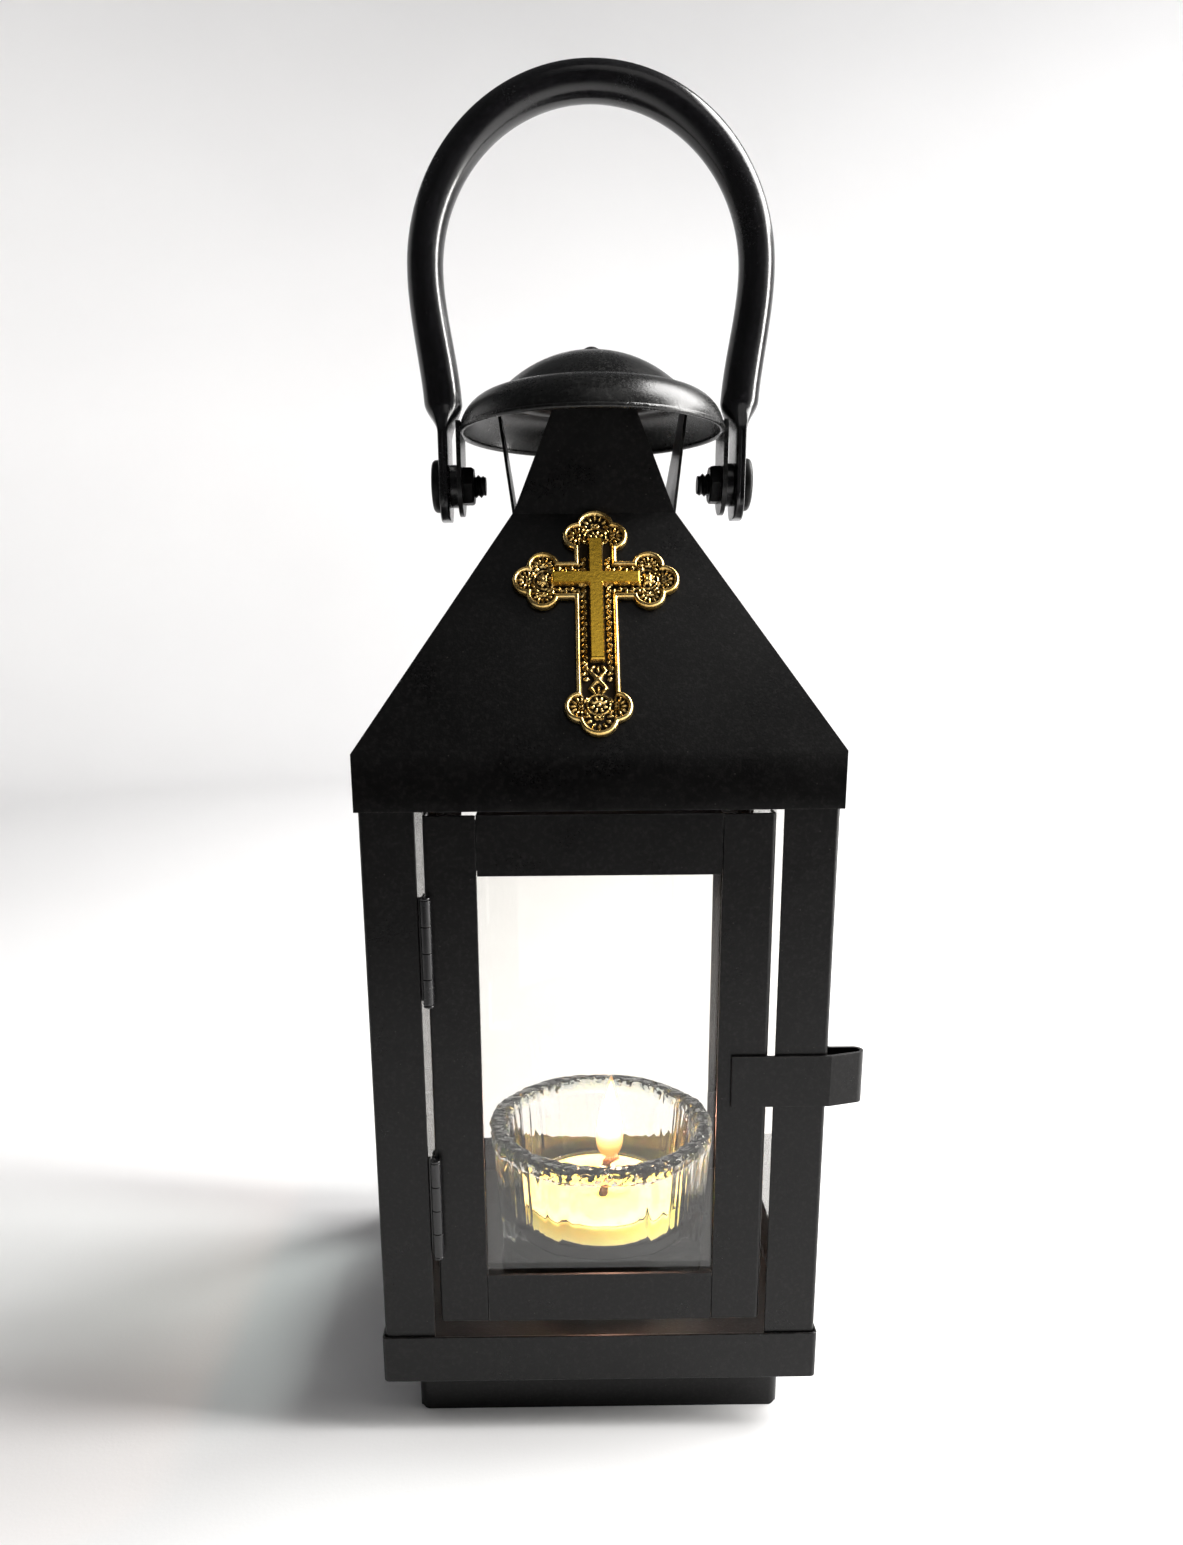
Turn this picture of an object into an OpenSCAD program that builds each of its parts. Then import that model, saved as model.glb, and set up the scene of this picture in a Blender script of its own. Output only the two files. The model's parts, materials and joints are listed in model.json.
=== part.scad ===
// Candle lantern of black painted sheet: a pressed foot and tray, four corner
// posts, glazed sides, a hinged glazed door with a spring clasp, a hipped roof
// with four bent-up tabs that carry a vented cap, and a swinging tube bail.
// A tealight stands in a thick glass cup inside.
// Millimetres, +Z up, the door faces -Y, origin at the middle of the foot's underside.

/* [Body] */
// Width and depth over the corner posts
body_w = 95; // [92:0.5:98]
// Thickness of the body sheet
sheet = 0.6; // [0.5:0.05:0.7]
// Clearance where one sheet slips over another
slip = 0.05; // [0.03:0.01:0.1]

/* [Base] */
// Width and depth of the foot
foot_w = 82.8; // [78:0.2:86]
// Height of the foot
foot_h = 12.6; // [8:0.2:16]
// Radius of the foot's lower edges and upright corners
foot_r = 2.2; // [1.2:0.1:3]
// Height of the tray's wall
tray_h = 11.1; // [8:0.1:14]
// Radius of the tray's upright corners
tray_r = 1.2; // [0.9:0.1:2]

/* [Posts] */
// Width of each leg of a corner post
post_leg = 11.1; // [9:0.1:12]
// Outside radius of the posts' fold
post_r = 1; // [0.8:0.1:1.4]

/* [Roof] */
// Height of the roof's lower edge above the ground
eaves_z = 140.9; // [138:0.1:146]
// Height of the upright skirt round the roof
skirt_h = 11.4; // [8:0.1:14]
// Rise of the sloping faces
roof_rise = 47.3; // [42:0.1:52]
// Width of the square opening at the top of the roof
roof_top_w = 34.6; // [32:0.2:37]
// Outward lean of the four tabs above the roof, in degrees
tab_lean = 8.5; // [4:0.5:10]
// Slant of the tabs' sides from upright, in degrees
tab_slant = 23; // [20:0.5:25]

/* [Cap] */
// Radius of the cap's rim
cap_r = 29.5; // [28:0.1:31]
// Height of the rim above the roof's top opening
rim_rise = 19; // [17:0.1:21]
// Height of the crown above the rim
cap_h = 16.4; // [15.8:0.1:17]
// Radius of curvature of the crown
crown_r = 28.8; // [28:0.1:29.6]
// Radius of curvature of the outer ring
ring_r = 8.7; // [8.3:0.1:9.1]
// Radius of curvature of the groove between them
groove_r = 2.5; // [2:0.1:3]
// Thickness of the cap's sheet
cap_t = 0.8; // [0.6:0.1:1]
// Radius of the rolled bead on the rim
bead_r = 0.6; // [0.5:0.05:0.8]
// Radius of the rivet's button on the crown
rivet_r = 2.4; // [2:0.1:3]

/* [Bail] */
// Height of the bail's pivot below the cap's rim
pivot_drop = 11.2; // [9:0.1:12]
// Width of the ears that hold the bail
ear_w = 13; // [12:0.5:14]
// Thickness of the ears
ear_t = 1; // [0.8:0.1:1.2]
// Outside diameter of the bail's tube
bail_d = 7.8; // [7:0.1:8.4]
// Radius of the bail's arch, to the middle of the tube
arch_r = 35.9; // [35:0.1:37]
// Height of the arch's centre above the pivot
arch_rise = 43.9; // [40:0.1:48]
// Thickness of the flattened ends
flat_t = 2.2; // [2:0.1:2.4]
// Width of the flattened ends
flat_w = 13; // [12:0.5:13.5]
// Thickness of the spacer washers between the bail and the ears
spacer_t = 1.8; // [1.4:0.1:2]
// Radius of the pivot screws
screw_r = 2.5; // [2.2:0.1:2.7]
// Radius of the pivot screws' heads
screw_head_r = 5.6; // [4.8:0.1:5.8]
// Width across the flats of the pivot nuts
nut_af = 7.6; // [7:0.1:8]

/* [Door] */
// Width of the door
door_w = 70; // [68:0.2:70.4]
// Height of the door's lower edge above the ground
door_z = 27.3; // [26:0.1:30]
// Height of the door
door_h = 112.8; // [110:0.1:113]
// Width of the door's stiles
stile_w = 10.5; // [9.5:0.1:11.5]
// Height of the top rail
rail_top_h = 12.3; // [11:0.1:13]
// Height of the bottom rail
rail_bottom_h = 11.3; // [10:0.1:12]
// Depth of the folded-back sides of the door
door_depth = 4.5; // [4:0.1:5]

/* [Hinges] */
// Length of each hinge
hinge_h = 22; // [18:0.5:24]
// Height of the lower hinge's middle
hinge_low_z = 55.5; // [50:0.5:60]
// Height of the upper hinge's middle
hinge_high_z = 112.5; // [105:0.5:118]
// Outside radius of the hinge knuckles
knuckle_r = 1.15; // [1.1:0.05:1.2]
// Radius of the hinge pins
hinge_pin_r = 0.6; // [0.5:0.05:0.65]

/* [Clasp] */
// Height of the clasp strip
clasp_h = 11.2; // [10:0.1:12]
// Height of the clasp's middle
clasp_z = 83.6; // [78:0.1:90]
// Thickness of the clasp strip
clasp_t = 0.7; // [0.6:0.05:0.8]

/* [Glass] */
// Thickness of the panes
glass_t = 1.8; // [1.5:0.1:2]
// Lap of the side and rear panes behind the posts
glass_lap = 3.6; // [3:0.1:4]

/* [Cross] */
// Height of the cross
cross_h = 53; // [50:0.5:53]
// Width of the cross
cross_w = 34.4; // [32:0.2:36]
// Thickness of the cross's plate
cross_t = 1; // [0.8:0.1:1.2]
// Distance of the cross's foot up the slope from the skirt
cross_foot = 3.2; // [2.5:0.1:3.6]

/* [Candle] */
// Height of the glass cup
cup_h = 39.6; // [36:0.2:42]
// Radius of the cup's rim
cup_r = 29.4; // [28:0.1:30]
// Thickness of the cup's wall at the rim
cup_wall = 4.5; // [4:0.1:5]
// Thickness of the cup's base
cup_base = 11.5; // [9:0.5:12]
// Distance of the cup to the right of the middle
cup_x = 2; // [0:0.5:3]
// Diameter of the tealight
tealight_d = 38; // [37:0.5:39]
// Height of the tealight's clear shell
tealight_h = 8.1; // [7.5:0.1:9]
// Height of the wick above the wax
wick_h = 11; // [8:0.5:13]

/* [Hidden] */

$fn = 64;
eps = 0.01;
paint = [0.07, 0.07, 0.075];
paint_dark = [0.04, 0.04, 0.045];
pane_tint = [0.85, 0.92, 0.93, 0.35];
gold = [0.78, 0.58, 0.22];

// Body
half_w = body_w / 2;
shell_half = half_w + slip + sheet;
floor_z = foot_h + sheet;
post_head_gap = 1;

// Roof
skirt_top_z = eaves_z + skirt_h;
roof_top_z = skirt_top_z + roof_rise;
roof_half_top = roof_top_w / 2;
roof_angle = atan2(roof_rise, shell_half - roof_half_top);
tab_root = 0.3;
tab_inset = 0.15;

// Cap
rim_z = roof_top_z + rim_rise;
ring_end_angle = 83;
ring_centre = [cap_r - ring_r * sin(ring_end_angle), rim_z - ring_r * cos(ring_end_angle)];
apex_z = rim_z + cap_h;
crown_centre = [0, apex_z - crown_r];
groove_centre = outer_tangent(crown_centre, crown_r, ring_centre, ring_r, groove_r);
crown_end_angle = bearing(groove_centre - crown_centre);
ring_top_angle = bearing(groove_centre - ring_centre);
rivet_shank_r = 1.4;
rivet_head_h = 1.25;
rivet_gap = 0.05;
rivet_tail = 1;
rivet_tail_h = 0.4;

// Bail
pivot_z = rim_z - pivot_drop;
ear_proud = 0.3;
ear_root = 1.6;
ear_x = cap_r + ear_proud - ear_t;
spacer_r = 4.6;
spacer_gap = 0.1;
spacer_x = ear_x + ear_t;
flat_x = spacer_x + spacer_t + spacer_gap;
head_x = flat_x + flat_t + spacer_gap;
head_h = 1.7;
head_edge = 0.9;
nut_h = 2.4;
screw_past_nut = 2.6;
screw_end_x = ear_x - nut_h - screw_past_nut;
pivot_gap = 0.08;
leg_x = flat_x + flat_t / 2;
flat_top = 10.4;
flat_foot = 7.6;
flat_corner = 5;
tube_sides = 24;
crush_h = 7;
sway = arch_r - leg_x;
sway_h = 29.9;
leg_top = arch_rise - sway_h;
round_from = flat_top + crush_h;

// Door
door_half = door_w / 2;
door_top_z = door_z + door_h;
opening_half = door_half - stile_w;
seam = 0.12;
door_front = -half_w;
lap_w = 7;
lap_inset = 1;

// Hinges
hinge_axis = [-door_half + 0.3, door_front - 1.3];
knuckles = 4;
knuckle_gap = 0.15;
knuckle_h = hinge_h / knuckles;
leaf_t = 0.6;
pin_gap = 0.05;
pin_cap_h = 0.5;
finger_gap = 0.1;
post_leaf_w = 7;
post_leaf_y = door_front + sheet + 2 * slip - hinge_axis.y;
door_leaf_y = 3;
door_leaf_end = door_depth + 1.2;

// Clasp
clasp_left = 27.3;
clasp_back = door_front - 0.1;
clasp_bend_x = half_w + 0.4;
clasp_kick = 16;
clasp_run = 6.4;
clasp_curl_r = 1.5;
clasp_return = 4.6;
clasp_lip_r = 0.9;
clasp_lip_turn = 120;

// Glass
glass_half = half_w - post_leg + glass_lap;
glass_face = half_w - sheet - slip;
glass_bottom = floor_z + 0.3;
glass_top = eaves_z + 8;
clip_t = 0.4;
clip_h = 8;
clip_foot = 3.6;
clip_reach = 4;
clip_low = 22;
clip_high = 14;
door_lap = 5;
door_clip_end = 26;
door_clip_reach = 7;
door_clip_leg = 2.4;

// Cross
lobe_r = 3.4;
lobe_step = 2.9;
tip_r = 4;
tip_step = 2.4;
arm_inset = 6.5;
arm_z = cross_h - cross_w / 2;
cross_rim = 1.1;
cross_rim_h = 0.5;
arm_half = 4.4;
face_t = 1.1;
face_half = 1.5;
face_foot = 16.4;
face_head = 10;
face_arm = 9.2;

// Candle
cup_foot_r = 26.6;
cup_foot_edge = 0.8;
cup_foot_wall = 4;
cup_floor_edge = 9;
cup_rim_edge = 1.4;
cup_floor_z = floor_z + cup_base;
shell_t = 0.4;
shell_edge = 2.4;
tealight_seat = 1.1;
tealight_z = cup_floor_z + tealight_seat;
wax_drop = 0.8;
wax_z = tealight_z + tealight_h - wax_drop;
holder_r = 6;
holder_t = 0.4;
holder_tube_r = 1.4;
holder_tube_h = 5;
wick_r = 0.8;

// Angle of a direction in the plane, measured from +Y towards +X
function bearing(d) = atan2(d.x, d.y);

// Centre of the circle of radius r that touches circles a and b from outside, on their left
function outer_tangent(a, ra, b, rb, r) =
    let (far = norm(b - a), along = (b - a) / far,
         reach = ((ra + r) * (ra + r) - (rb + r) * (rb + r) + far * far) / (2 * far))
    a + reach * along + sqrt((ra + r) * (ra + r) - reach * reach) * [-along.y, along.x];

// Points along an arc in the plane, angles measured from +Y towards +X
function arc(centre, r, a0, a1, n) =
    [for (i = [0:n]) let (a = a0 + (a1 - a0) * i / n) [centre.x + r * sin(a), centre.y + r * cos(a)]];

// Rectangle with round corners, centred
module round_rect(w, d, r) {
    square([w - 2 * r, d], center = true);
    square([w, d - 2 * r], center = true);
    for (x = [-1, 1], y = [-1, 1]) {
        translate([x * (w / 2 - r), y * (d / 2 - r)]) circle(r);
    }
}

// Square quarter with its outer corner rounded, corner at the origin
module quarter(size, r) {
    translate([r, 0]) square([size - r, size]);
    translate([0, r]) square([size, size - r]);
    translate([r, r]) circle(r);
}

// Copies a child to the left or right, mirrored about the middle
module side(s) {
    mirror([s < 0 ? 1 : 0, 0, 0]) children();
}

// ---- Base ----

// Foot block with rounded lower edges, grown inwards by g and open at the top
module foot_block(g) {
    w = foot_w - 2 * g;
    r = foot_r - g;
    intersection() {
        translate([0, 0, g]) linear_extrude(2 * foot_h) round_rect(w, w, r);
        for (a = [0, 90]) {
            rotate([90, 0, a]) linear_extrude(foot_w, center = true)
                translate([0, g + foot_h]) round_rect(w, 2 * foot_h, r);
        }
    }
}

module foot_pan() {
    color(paint) difference() {
        foot_block(0);
        foot_block(sheet);
        translate([-foot_w, -foot_w, foot_h]) cube([2 * foot_w, 2 * foot_w, 2 * foot_h]);
    }
}

module base_tray() {
    w = 2 * shell_half;
    color(paint) translate([0, 0, foot_h]) difference() {
        linear_extrude(tray_h) round_rect(w, w, tray_r);
        translate([0, 0, sheet]) linear_extrude(tray_h)
            round_rect(w - 2 * sheet, w - 2 * sheet, tray_r - sheet);
    }
}

// ---- Posts ----

// Folded corner post at one corner, chosen by the signs of x and y
module post(sx, sy) {
    h = skirt_top_z - post_head_gap - floor_z;
    color(paint) mirror([sx > 0 ? 1 : 0, 0, 0]) mirror([0, sy > 0 ? 1 : 0, 0])
        translate([-half_w, -half_w, floor_z]) linear_extrude(h) difference() {
            quarter(post_leg, post_r);
            translate([sheet, sheet]) quarter(post_leg, post_r - sheet);
        }
}

module post_front_left() { post(-1, -1); }
module post_front_right() { post(1, -1); }
module post_rear_left() { post(-1, 1); }
module post_rear_right() { post(1, 1); }

// ---- Roof ----

// Roof outline in the X-Z plane, set in by g, running up past the top by over
module roof_outline(g, below, over) {
    half = shell_half - g;
    run = g / sin(roof_angle);
    shoulder = skirt_top_z + (g - run) * tan(roof_angle);
    top_half = roof_half_top - run - over / tan(roof_angle);
    polygon([
        [-half, eaves_z - below], [half, eaves_z - below], [half, shoulder],
        [top_half, roof_top_z + over], [-top_half, roof_top_z + over], [-half, shoulder]
    ]);
}

module roof_block(g, below, over) {
    intersection_for (a = [0, 90]) {
        rotate([90, 0, a]) linear_extrude(3 * half_w, center = true) roof_outline(g, below, over);
    }
}

// Tab standing on the front edge of the roof's top opening
module roof_tab() {
    tall = rim_rise + ring_r;
    half_root = roof_half_top - tab_inset;
    half_tip = half_root - tall * tan(tab_slant);
    translate([0, -roof_half_top, roof_top_z]) rotate([tab_lean, 0, 0]) translate([0, sheet, 0])
        rotate([90, 0, 0]) linear_extrude(sheet)
            polygon([[-half_root, -tab_root], [half_root, -tab_root], [half_root, 0],
                     [half_tip, tall], [-half_tip, tall], [-half_root, 0]]);
}

module roof_shell() {
    color(paint) union() {
        difference() {
            roof_block(0, 0, 0);
            roof_block(sheet, 1, 1);
        }
        difference() {
            for (a = [0:90:270]) {
                rotate([0, 0, a]) roof_tab();
            }
            above_cap_lining();
        }
    }
}

// ---- Cap ----

// Outer line of the cap from the crown's middle to the rim, moved inwards by g
function cap_line(g) = concat(
    arc(crown_centre, crown_r - g, 0, crown_end_angle, 14),
    arc(groove_centre, groove_r + g, 180 + crown_end_angle, 180 + ring_top_angle, 5),
    arc(ring_centre, ring_r - g, ring_top_angle, ring_end_angle, 12));

function reversed(list) = [for (i = [len(list) - 1:-1:0]) list[i]];

// Everything above the underside of the cap, with a little clearance
module above_cap_lining() {
    line = cap_line(cap_t + slip);
    low = line[len(line) - 1].y;
    far = 2 * cap_r;
    top = apex_z + cap_r;
    rotate_extrude($fn = 96) polygon(concat(line, [[far, low], [far, top], [0, top]]));
}

module ear() {
    translate([ear_x, 0, 0]) rotate([90, 0, 90]) linear_extrude(ear_t) {
        translate([0, pivot_z]) circle(ear_w / 2);
        translate([-ear_w / 2, pivot_z]) square([ear_w, pivot_drop + ear_root]);
    }
}

module cap() {
    mid = ring_r - cap_t / 2;
    bead = [ring_centre.x + mid * sin(ring_end_angle), ring_centre.y + mid * cos(ring_end_angle)];
    color(paint) difference() {
        union() {
            rotate_extrude($fn = 96) {
                polygon(concat(cap_line(0), reversed(cap_line(cap_t))));
                translate(bead) circle(bead_r, $fn = 24);
            }
            for (s = [-1, 1]) {
                side(s) ear();
            }
        }
        translate([0, 0, apex_z]) cylinder(h = 4, r = rivet_shank_r + rivet_gap, center = true, $fn = 32);
        translate([0, 0, pivot_z]) rotate([0, 90, 0])
            cylinder(h = 3 * cap_r, r = screw_r + rivet_gap, center = true, $fn = 32);
    }
}

// Rivet that closes the crown, with a low button outside and a flat tail inside
module cap_rivet() {
    button_r = (rivet_r * rivet_r + rivet_head_h * rivet_head_h) / (2 * rivet_head_h);
    color(paint) {
        translate([0, 0, apex_z]) rotate_extrude($fn = 48)
            polygon(concat([[0, 0]], arc([0, rivet_head_h - button_r], button_r,
                    0, asin(rivet_r / button_r), 6)));
        translate([0, 0, apex_z - cap_t - rivet_tail])
            cylinder(h = cap_t + rivet_tail + eps, r = rivet_shank_r, $fn = 32);
        translate([0, 0, apex_z - cap_t - rivet_tail - rivet_tail_h])
            cylinder(h = rivet_tail_h + eps, r = rivet_r, $fn = 32);
    }
}

// ---- Glass ----

// Pane behind the left side; the others are turned from it
module pane() {
    color(pane_tint) translate([-glass_face, -glass_half, glass_bottom])
        cube([glass_t, 2 * glass_half, glass_top - glass_bottom]);
}

// Z-bent clip: foot on a post, web at the glass's edge, tongue over the glass
module clip() {
    rise = glass_t + slip;
    linear_extrude(clip_h, center = true) polygon([
        [0, clip_foot], [0, 0], [rise, 0], [rise, -clip_reach], [rise + clip_t, -clip_reach],
        [rise + clip_t, clip_t], [clip_t, clip_t], [clip_t, clip_foot]
    ]);
}

// Four clips of the left pane; the others are turned from them
module clip_set() {
    color(paint_dark) for (y = [0, 1], z = [floor_z + clip_low, eaves_z - clip_high]) {
        mirror([0, y, 0]) translate([-half_w + sheet, glass_half + slip, z]) clip();
    }
}

module glass_left() { pane(); }
module glass_right() { rotate([0, 0, 180]) pane(); }
module glass_rear() { rotate([0, 0, -90]) pane(); }
module glass_clips_left() { clip_set(); }
module glass_clips_right() { rotate([0, 0, 180]) clip_set(); }
module glass_clips_rear() { rotate([0, 0, -90]) clip_set(); }

// ---- Door ----

// Upright of the door: front face with its outer side folded back
module stile(s) {
    color(paint) side(-s) translate([-door_half, door_front, door_z]) linear_extrude(door_h) {
        difference() {
            intersection() {
                quarter(stile_w, post_r);
                square([stile_w, door_depth]);
            }
            translate([sheet, sheet]) quarter(stile_w, post_r - sheet);
        }
    }
}

// Crosswise member of the door, with lapped ends behind the stiles
module rail(z, h, fold_up) {
    face = 2 * (opening_half - seam);
    lapped = 2 * (opening_half + lap_w);
    edge_z = fold_up ? z + h - sheet : z;
    color(paint) {
        translate([-face / 2, door_front, z]) cube([face, sheet + eps, h]);
        translate([-lapped / 2, door_front + sheet, z + lap_inset]) cube([lapped, sheet, h - 2 * lap_inset]);
        translate([-face / 2, door_front, edge_z]) cube([face, door_depth, sheet]);
    }
}

module door_stile_left() { stile(-1); }
module door_stile_right() { stile(1); }
module door_rail_top() { rail(door_top_z - rail_top_h, rail_top_h, true); }
module door_rail_bottom() { rail(door_z, rail_bottom_h, false); }

module door_glass() {
    w = 2 * (opening_half + door_lap);
    h = door_h - rail_top_h - rail_bottom_h + 2 * door_lap;
    color(pane_tint) translate([-w / 2, door_front + 2 * sheet + slip, door_z + rail_bottom_h - door_lap])
        cube([w, glass_t, h]);
}

// L-bent tabs from the stiles' folded sides that hold the door's glass
module door_glass_clips() {
    behind = door_front + 2 * sheet + glass_t + 2 * slip;
    color(paint_dark) for (s = [-1, 1], z = [door_z + door_clip_end, door_top_z - door_clip_end]) {
        side(s) translate([door_half - sheet - door_clip_reach, behind, z - clip_h / 2]) {
            cube([door_clip_reach, clip_t, clip_h]);
            translate([door_clip_reach - clip_t, 0, 0]) cube([clip_t, door_clip_leg, clip_h]);
        }
    }
}

// ---- Hinges ----

// Height of a knuckle's lower end from the hinge's middle
function knuckle_z(i) = (i - knuckles / 2) * knuckle_h + knuckle_gap / 2;

// Rolled knuckle with the straight strip that leaves its left side
module knuckle(i, strip) {
    translate([0, 0, knuckle_z(i)]) linear_extrude(knuckle_h - knuckle_gap) {
        difference() {
            union() {
                circle(knuckle_r, $fn = 48);
                translate([-knuckle_r, 0]) square([leaf_t, strip]);
            }
            circle(hinge_pin_r + pin_gap, $fn = 48);
        }
    }
}

// Leaf behind the post: its fingers pass the gap and bend behind the post's face
module post_leaf(z) {
    color(paint_dark) translate([hinge_axis.x, hinge_axis.y, z]) {
        for (i = [0, 2]) {
            knuckle(i, post_leaf_y + leaf_t);
            translate([-knuckle_r - finger_gap - eps, post_leaf_y, knuckle_z(i)])
                cube([finger_gap + 2 * eps, leaf_t, knuckle_h - knuckle_gap]);
        }
        translate([-knuckle_r - finger_gap - post_leaf_w, post_leaf_y, knuckle_z(0)])
            cube([post_leaf_w, leaf_t, hinge_h - knuckle_gap]);
    }
}

// Leaf along the door's folded side
module door_leaf(z) {
    color(paint_dark) translate([hinge_axis.x, hinge_axis.y, z]) {
        for (i = [1, 3]) {
            knuckle(i, door_leaf_end);
        }
        translate([-knuckle_r, door_leaf_y, knuckle_z(0)])
            cube([leaf_t, door_leaf_end - door_leaf_y, hinge_h - knuckle_gap]);
    }
}

module hinge_pin(z) {
    color(paint_dark) translate([hinge_axis.x, hinge_axis.y, z]) {
        cylinder(h = hinge_h + pin_cap_h, r = hinge_pin_r, center = true, $fn = 48);
        for (s = [-1, 1]) {
            translate([0, 0, s * (hinge_h + pin_cap_h) / 2])
                cylinder(h = pin_cap_h, r = knuckle_r - pin_gap, center = true);
        }
    }
}

module hinge_upper_post_leaf() { post_leaf(hinge_high_z); }
module hinge_upper_door_leaf() { door_leaf(hinge_high_z); }
module hinge_upper_pin() { hinge_pin(hinge_high_z); }
module hinge_lower_post_leaf() { post_leaf(hinge_low_z); }
module hinge_lower_door_leaf() { door_leaf(hinge_low_z); }
module hinge_lower_pin() { hinge_pin(hinge_low_z); }

// ---- Clasp ----

// Straight piece of strip between two points, with round ends
module strip_run(a, b) {
    along = b - a;
    translate(a) rotate(atan2(along.y, along.x)) translate([0, -clasp_t / 2]) square([norm(along), clasp_t]);
    for (p = [a, b]) {
        translate(p) circle(clasp_t / 2, $fn = 24);
    }
}

// Bent piece of strip round a centre, between two angles
module strip_bend(centre, r, a0, a1) {
    outer = arc(centre, r + clasp_t / 2, 90 - a0, 90 - a1, 12);
    inner = arc(centre, r - clasp_t / 2, 90 - a0, 90 - a1, 12);
    polygon(concat(outer, reversed(inner)));
}

// Spring strip on the door that reaches over the right post and curls back beside it
module clasp_strip() {
    mid_y = clasp_back - clasp_t / 2;
    bend = [clasp_bend_x, mid_y];
    tip = bend + clasp_run * [cos(clasp_kick), sin(clasp_kick)];
    curl = tip + clasp_curl_r * [-sin(clasp_kick), cos(clasp_kick)];
    back_from = curl + clasp_curl_r * [0, 1];
    back_to = back_from - [clasp_return, 0];
    lip = back_to + [0, clasp_lip_r];
    color(paint) translate([0, 0, clasp_z - clasp_h / 2]) linear_extrude(clasp_h) {
        strip_run([clasp_left + clasp_t / 2, mid_y], bend);
        strip_run(bend, tip);
        strip_bend(curl, clasp_curl_r, clasp_kick - 90, 90);
        strip_run(back_to, back_from);
        strip_bend(lip, clasp_lip_r, 270 - clasp_lip_turn, 270);
    }
}

// ---- Bail ----

function clamp(t) = min(1, max(0, t));
function smooth(t) = let (u = clamp(t)) u * u * (3 - 2 * u);
function mix(a, b, t) = a + (b - a) * t;

// How far the tube is round at height h above the pivot: 0 flattened, 1 round
function roundness(h) = smooth((h - flat_top) / crush_h);

// Middle of the leg at height h
function leg_mid(h) = leg_x + sway * smooth((h - leg_top) / sway_h);

// Half width of the section along Y, drawn in round the foot of the flat end
function half_width(h) =
    let (below = clamp((flat_corner - flat_foot - h) / flat_corner),
         flat = flat_w / 2 - flat_corner * (1 - sqrt(max(0, 1 - below * below))))
    mix(flat, bail_d / 2, roundness(h));

// Section of the tube as [in-plane offset, Y] pairs: round, or a round-edged flat
function section(h) =
    let (a = mix(flat_t, bail_d, roundness(h)) / 2,
         b = half_width(h),
         power = mix(0.25, 1, roundness(h)))
    [for (i = [0:tube_sides - 1]) let (c = cos(360 * i / tube_sides), d = sin(360 * i / tube_sides))
        [a * sign(c) * pow(abs(c), power), b * sign(d) * pow(abs(d), power)]];

function leg_ring(h, s) = [for (p = section(h)) [s * (leg_mid(h) + p.x), p.y, pivot_z + h]];

function arch_ring(t) = [for (p = section(arch_rise))
    [(arch_r + p.x) * cos(t), p.y, pivot_z + arch_rise + (arch_r + p.x) * sin(t)]];

// Bent tube with its ends crushed flat and bored for the pivot screws
module bail_handle() {
    heights = concat(
        [for (i = [0:4]) -flat_foot + flat_corner * (1 - cos(18 * i))],
        [-flat_foot + flat_corner, flat_top],
        [for (i = [1:6]) flat_top + crush_h * i / 6],
        [for (i = [1:8]) mix(round_from, arch_rise, i / 9)]);
    last = len(heights) - 1;
    rings = concat(
        [for (i = [0:last]) leg_ring(heights[i], 1)],
        [for (t = [0:7.5:180]) arch_ring(t)],
        [for (i = [last:-1:0]) leg_ring(heights[i], -1)]);
    points = [for (ring = rings, p = ring) p];
    m = tube_sides;
    sides = [for (i = [0:len(rings) - 2], j = [0:m - 1]) let (k = (j + 1) % m)
        [i * m + j, i * m + k, i * m + m + k, i * m + m + j]];
    first_end = [for (j = [m - 1:-1:0]) j];
    last_end = [for (j = [0:m - 1]) (len(rings) - 1) * m + j];
    color(paint) difference() {
        polyhedron(points, concat(sides, [first_end, last_end]), convexity = 6);
        translate([0, 0, pivot_z]) rotate([0, 90, 0])
            cylinder(h = 3 * arch_r, r = screw_r + pivot_gap, center = true, $fn = 48);
    }
}

// Pivot screw with its flat round-edged head, pointing inwards
module pivot_screw(s) {
    color(paint_dark) side(s) translate([0, 0, pivot_z]) rotate([0, 90, 0]) {
        translate([0, 0, screw_end_x]) cylinder(h = head_x - screw_end_x + eps, r = screw_r, $fn = 48);
        translate([0, 0, head_x]) rotate_extrude()
            polygon(concat(
                [[0, 0], [0, head_h]],
                arc([screw_head_r - head_edge, head_h - head_edge], head_edge, 0, 90, 5),
                [[screw_head_r, 0]]));
    }
}

module pivot_spacer(s) {
    color(paint_dark) side(s) translate([spacer_x, 0, pivot_z]) rotate([0, 90, 0]) difference() {
        cylinder(h = spacer_t, r = spacer_r);
        translate([0, 0, -1]) cylinder(h = spacer_t + 2, r = screw_r + rivet_gap);
    }
}

module pivot_nut(s) {
    color(paint_dark) side(s) translate([ear_x - nut_h, 0, pivot_z]) rotate([0, 90, 0]) difference() {
        cylinder(h = nut_h, r = nut_af / 2 / cos(30), $fn = 6);
        translate([0, 0, -1]) cylinder(h = nut_h + 2, r = screw_r + rivet_gap, $fn = 48);
    }
}

module bail_screw_left() { pivot_screw(-1); }
module bail_screw_right() { pivot_screw(1); }
module bail_spacer_left() { pivot_spacer(-1); }
module bail_spacer_right() { pivot_spacer(1); }
module bail_nut_left() { pivot_nut(-1); }
module bail_nut_right() { pivot_nut(1); }

// ---- Cross ----

// Puts a child flat on the front slope, with +Y up the slope from the skirt
module on_front_slope() {
    translate([0, -shell_half, skirt_top_z]) rotate([roof_angle, 0, 0]) children();
}

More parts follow.
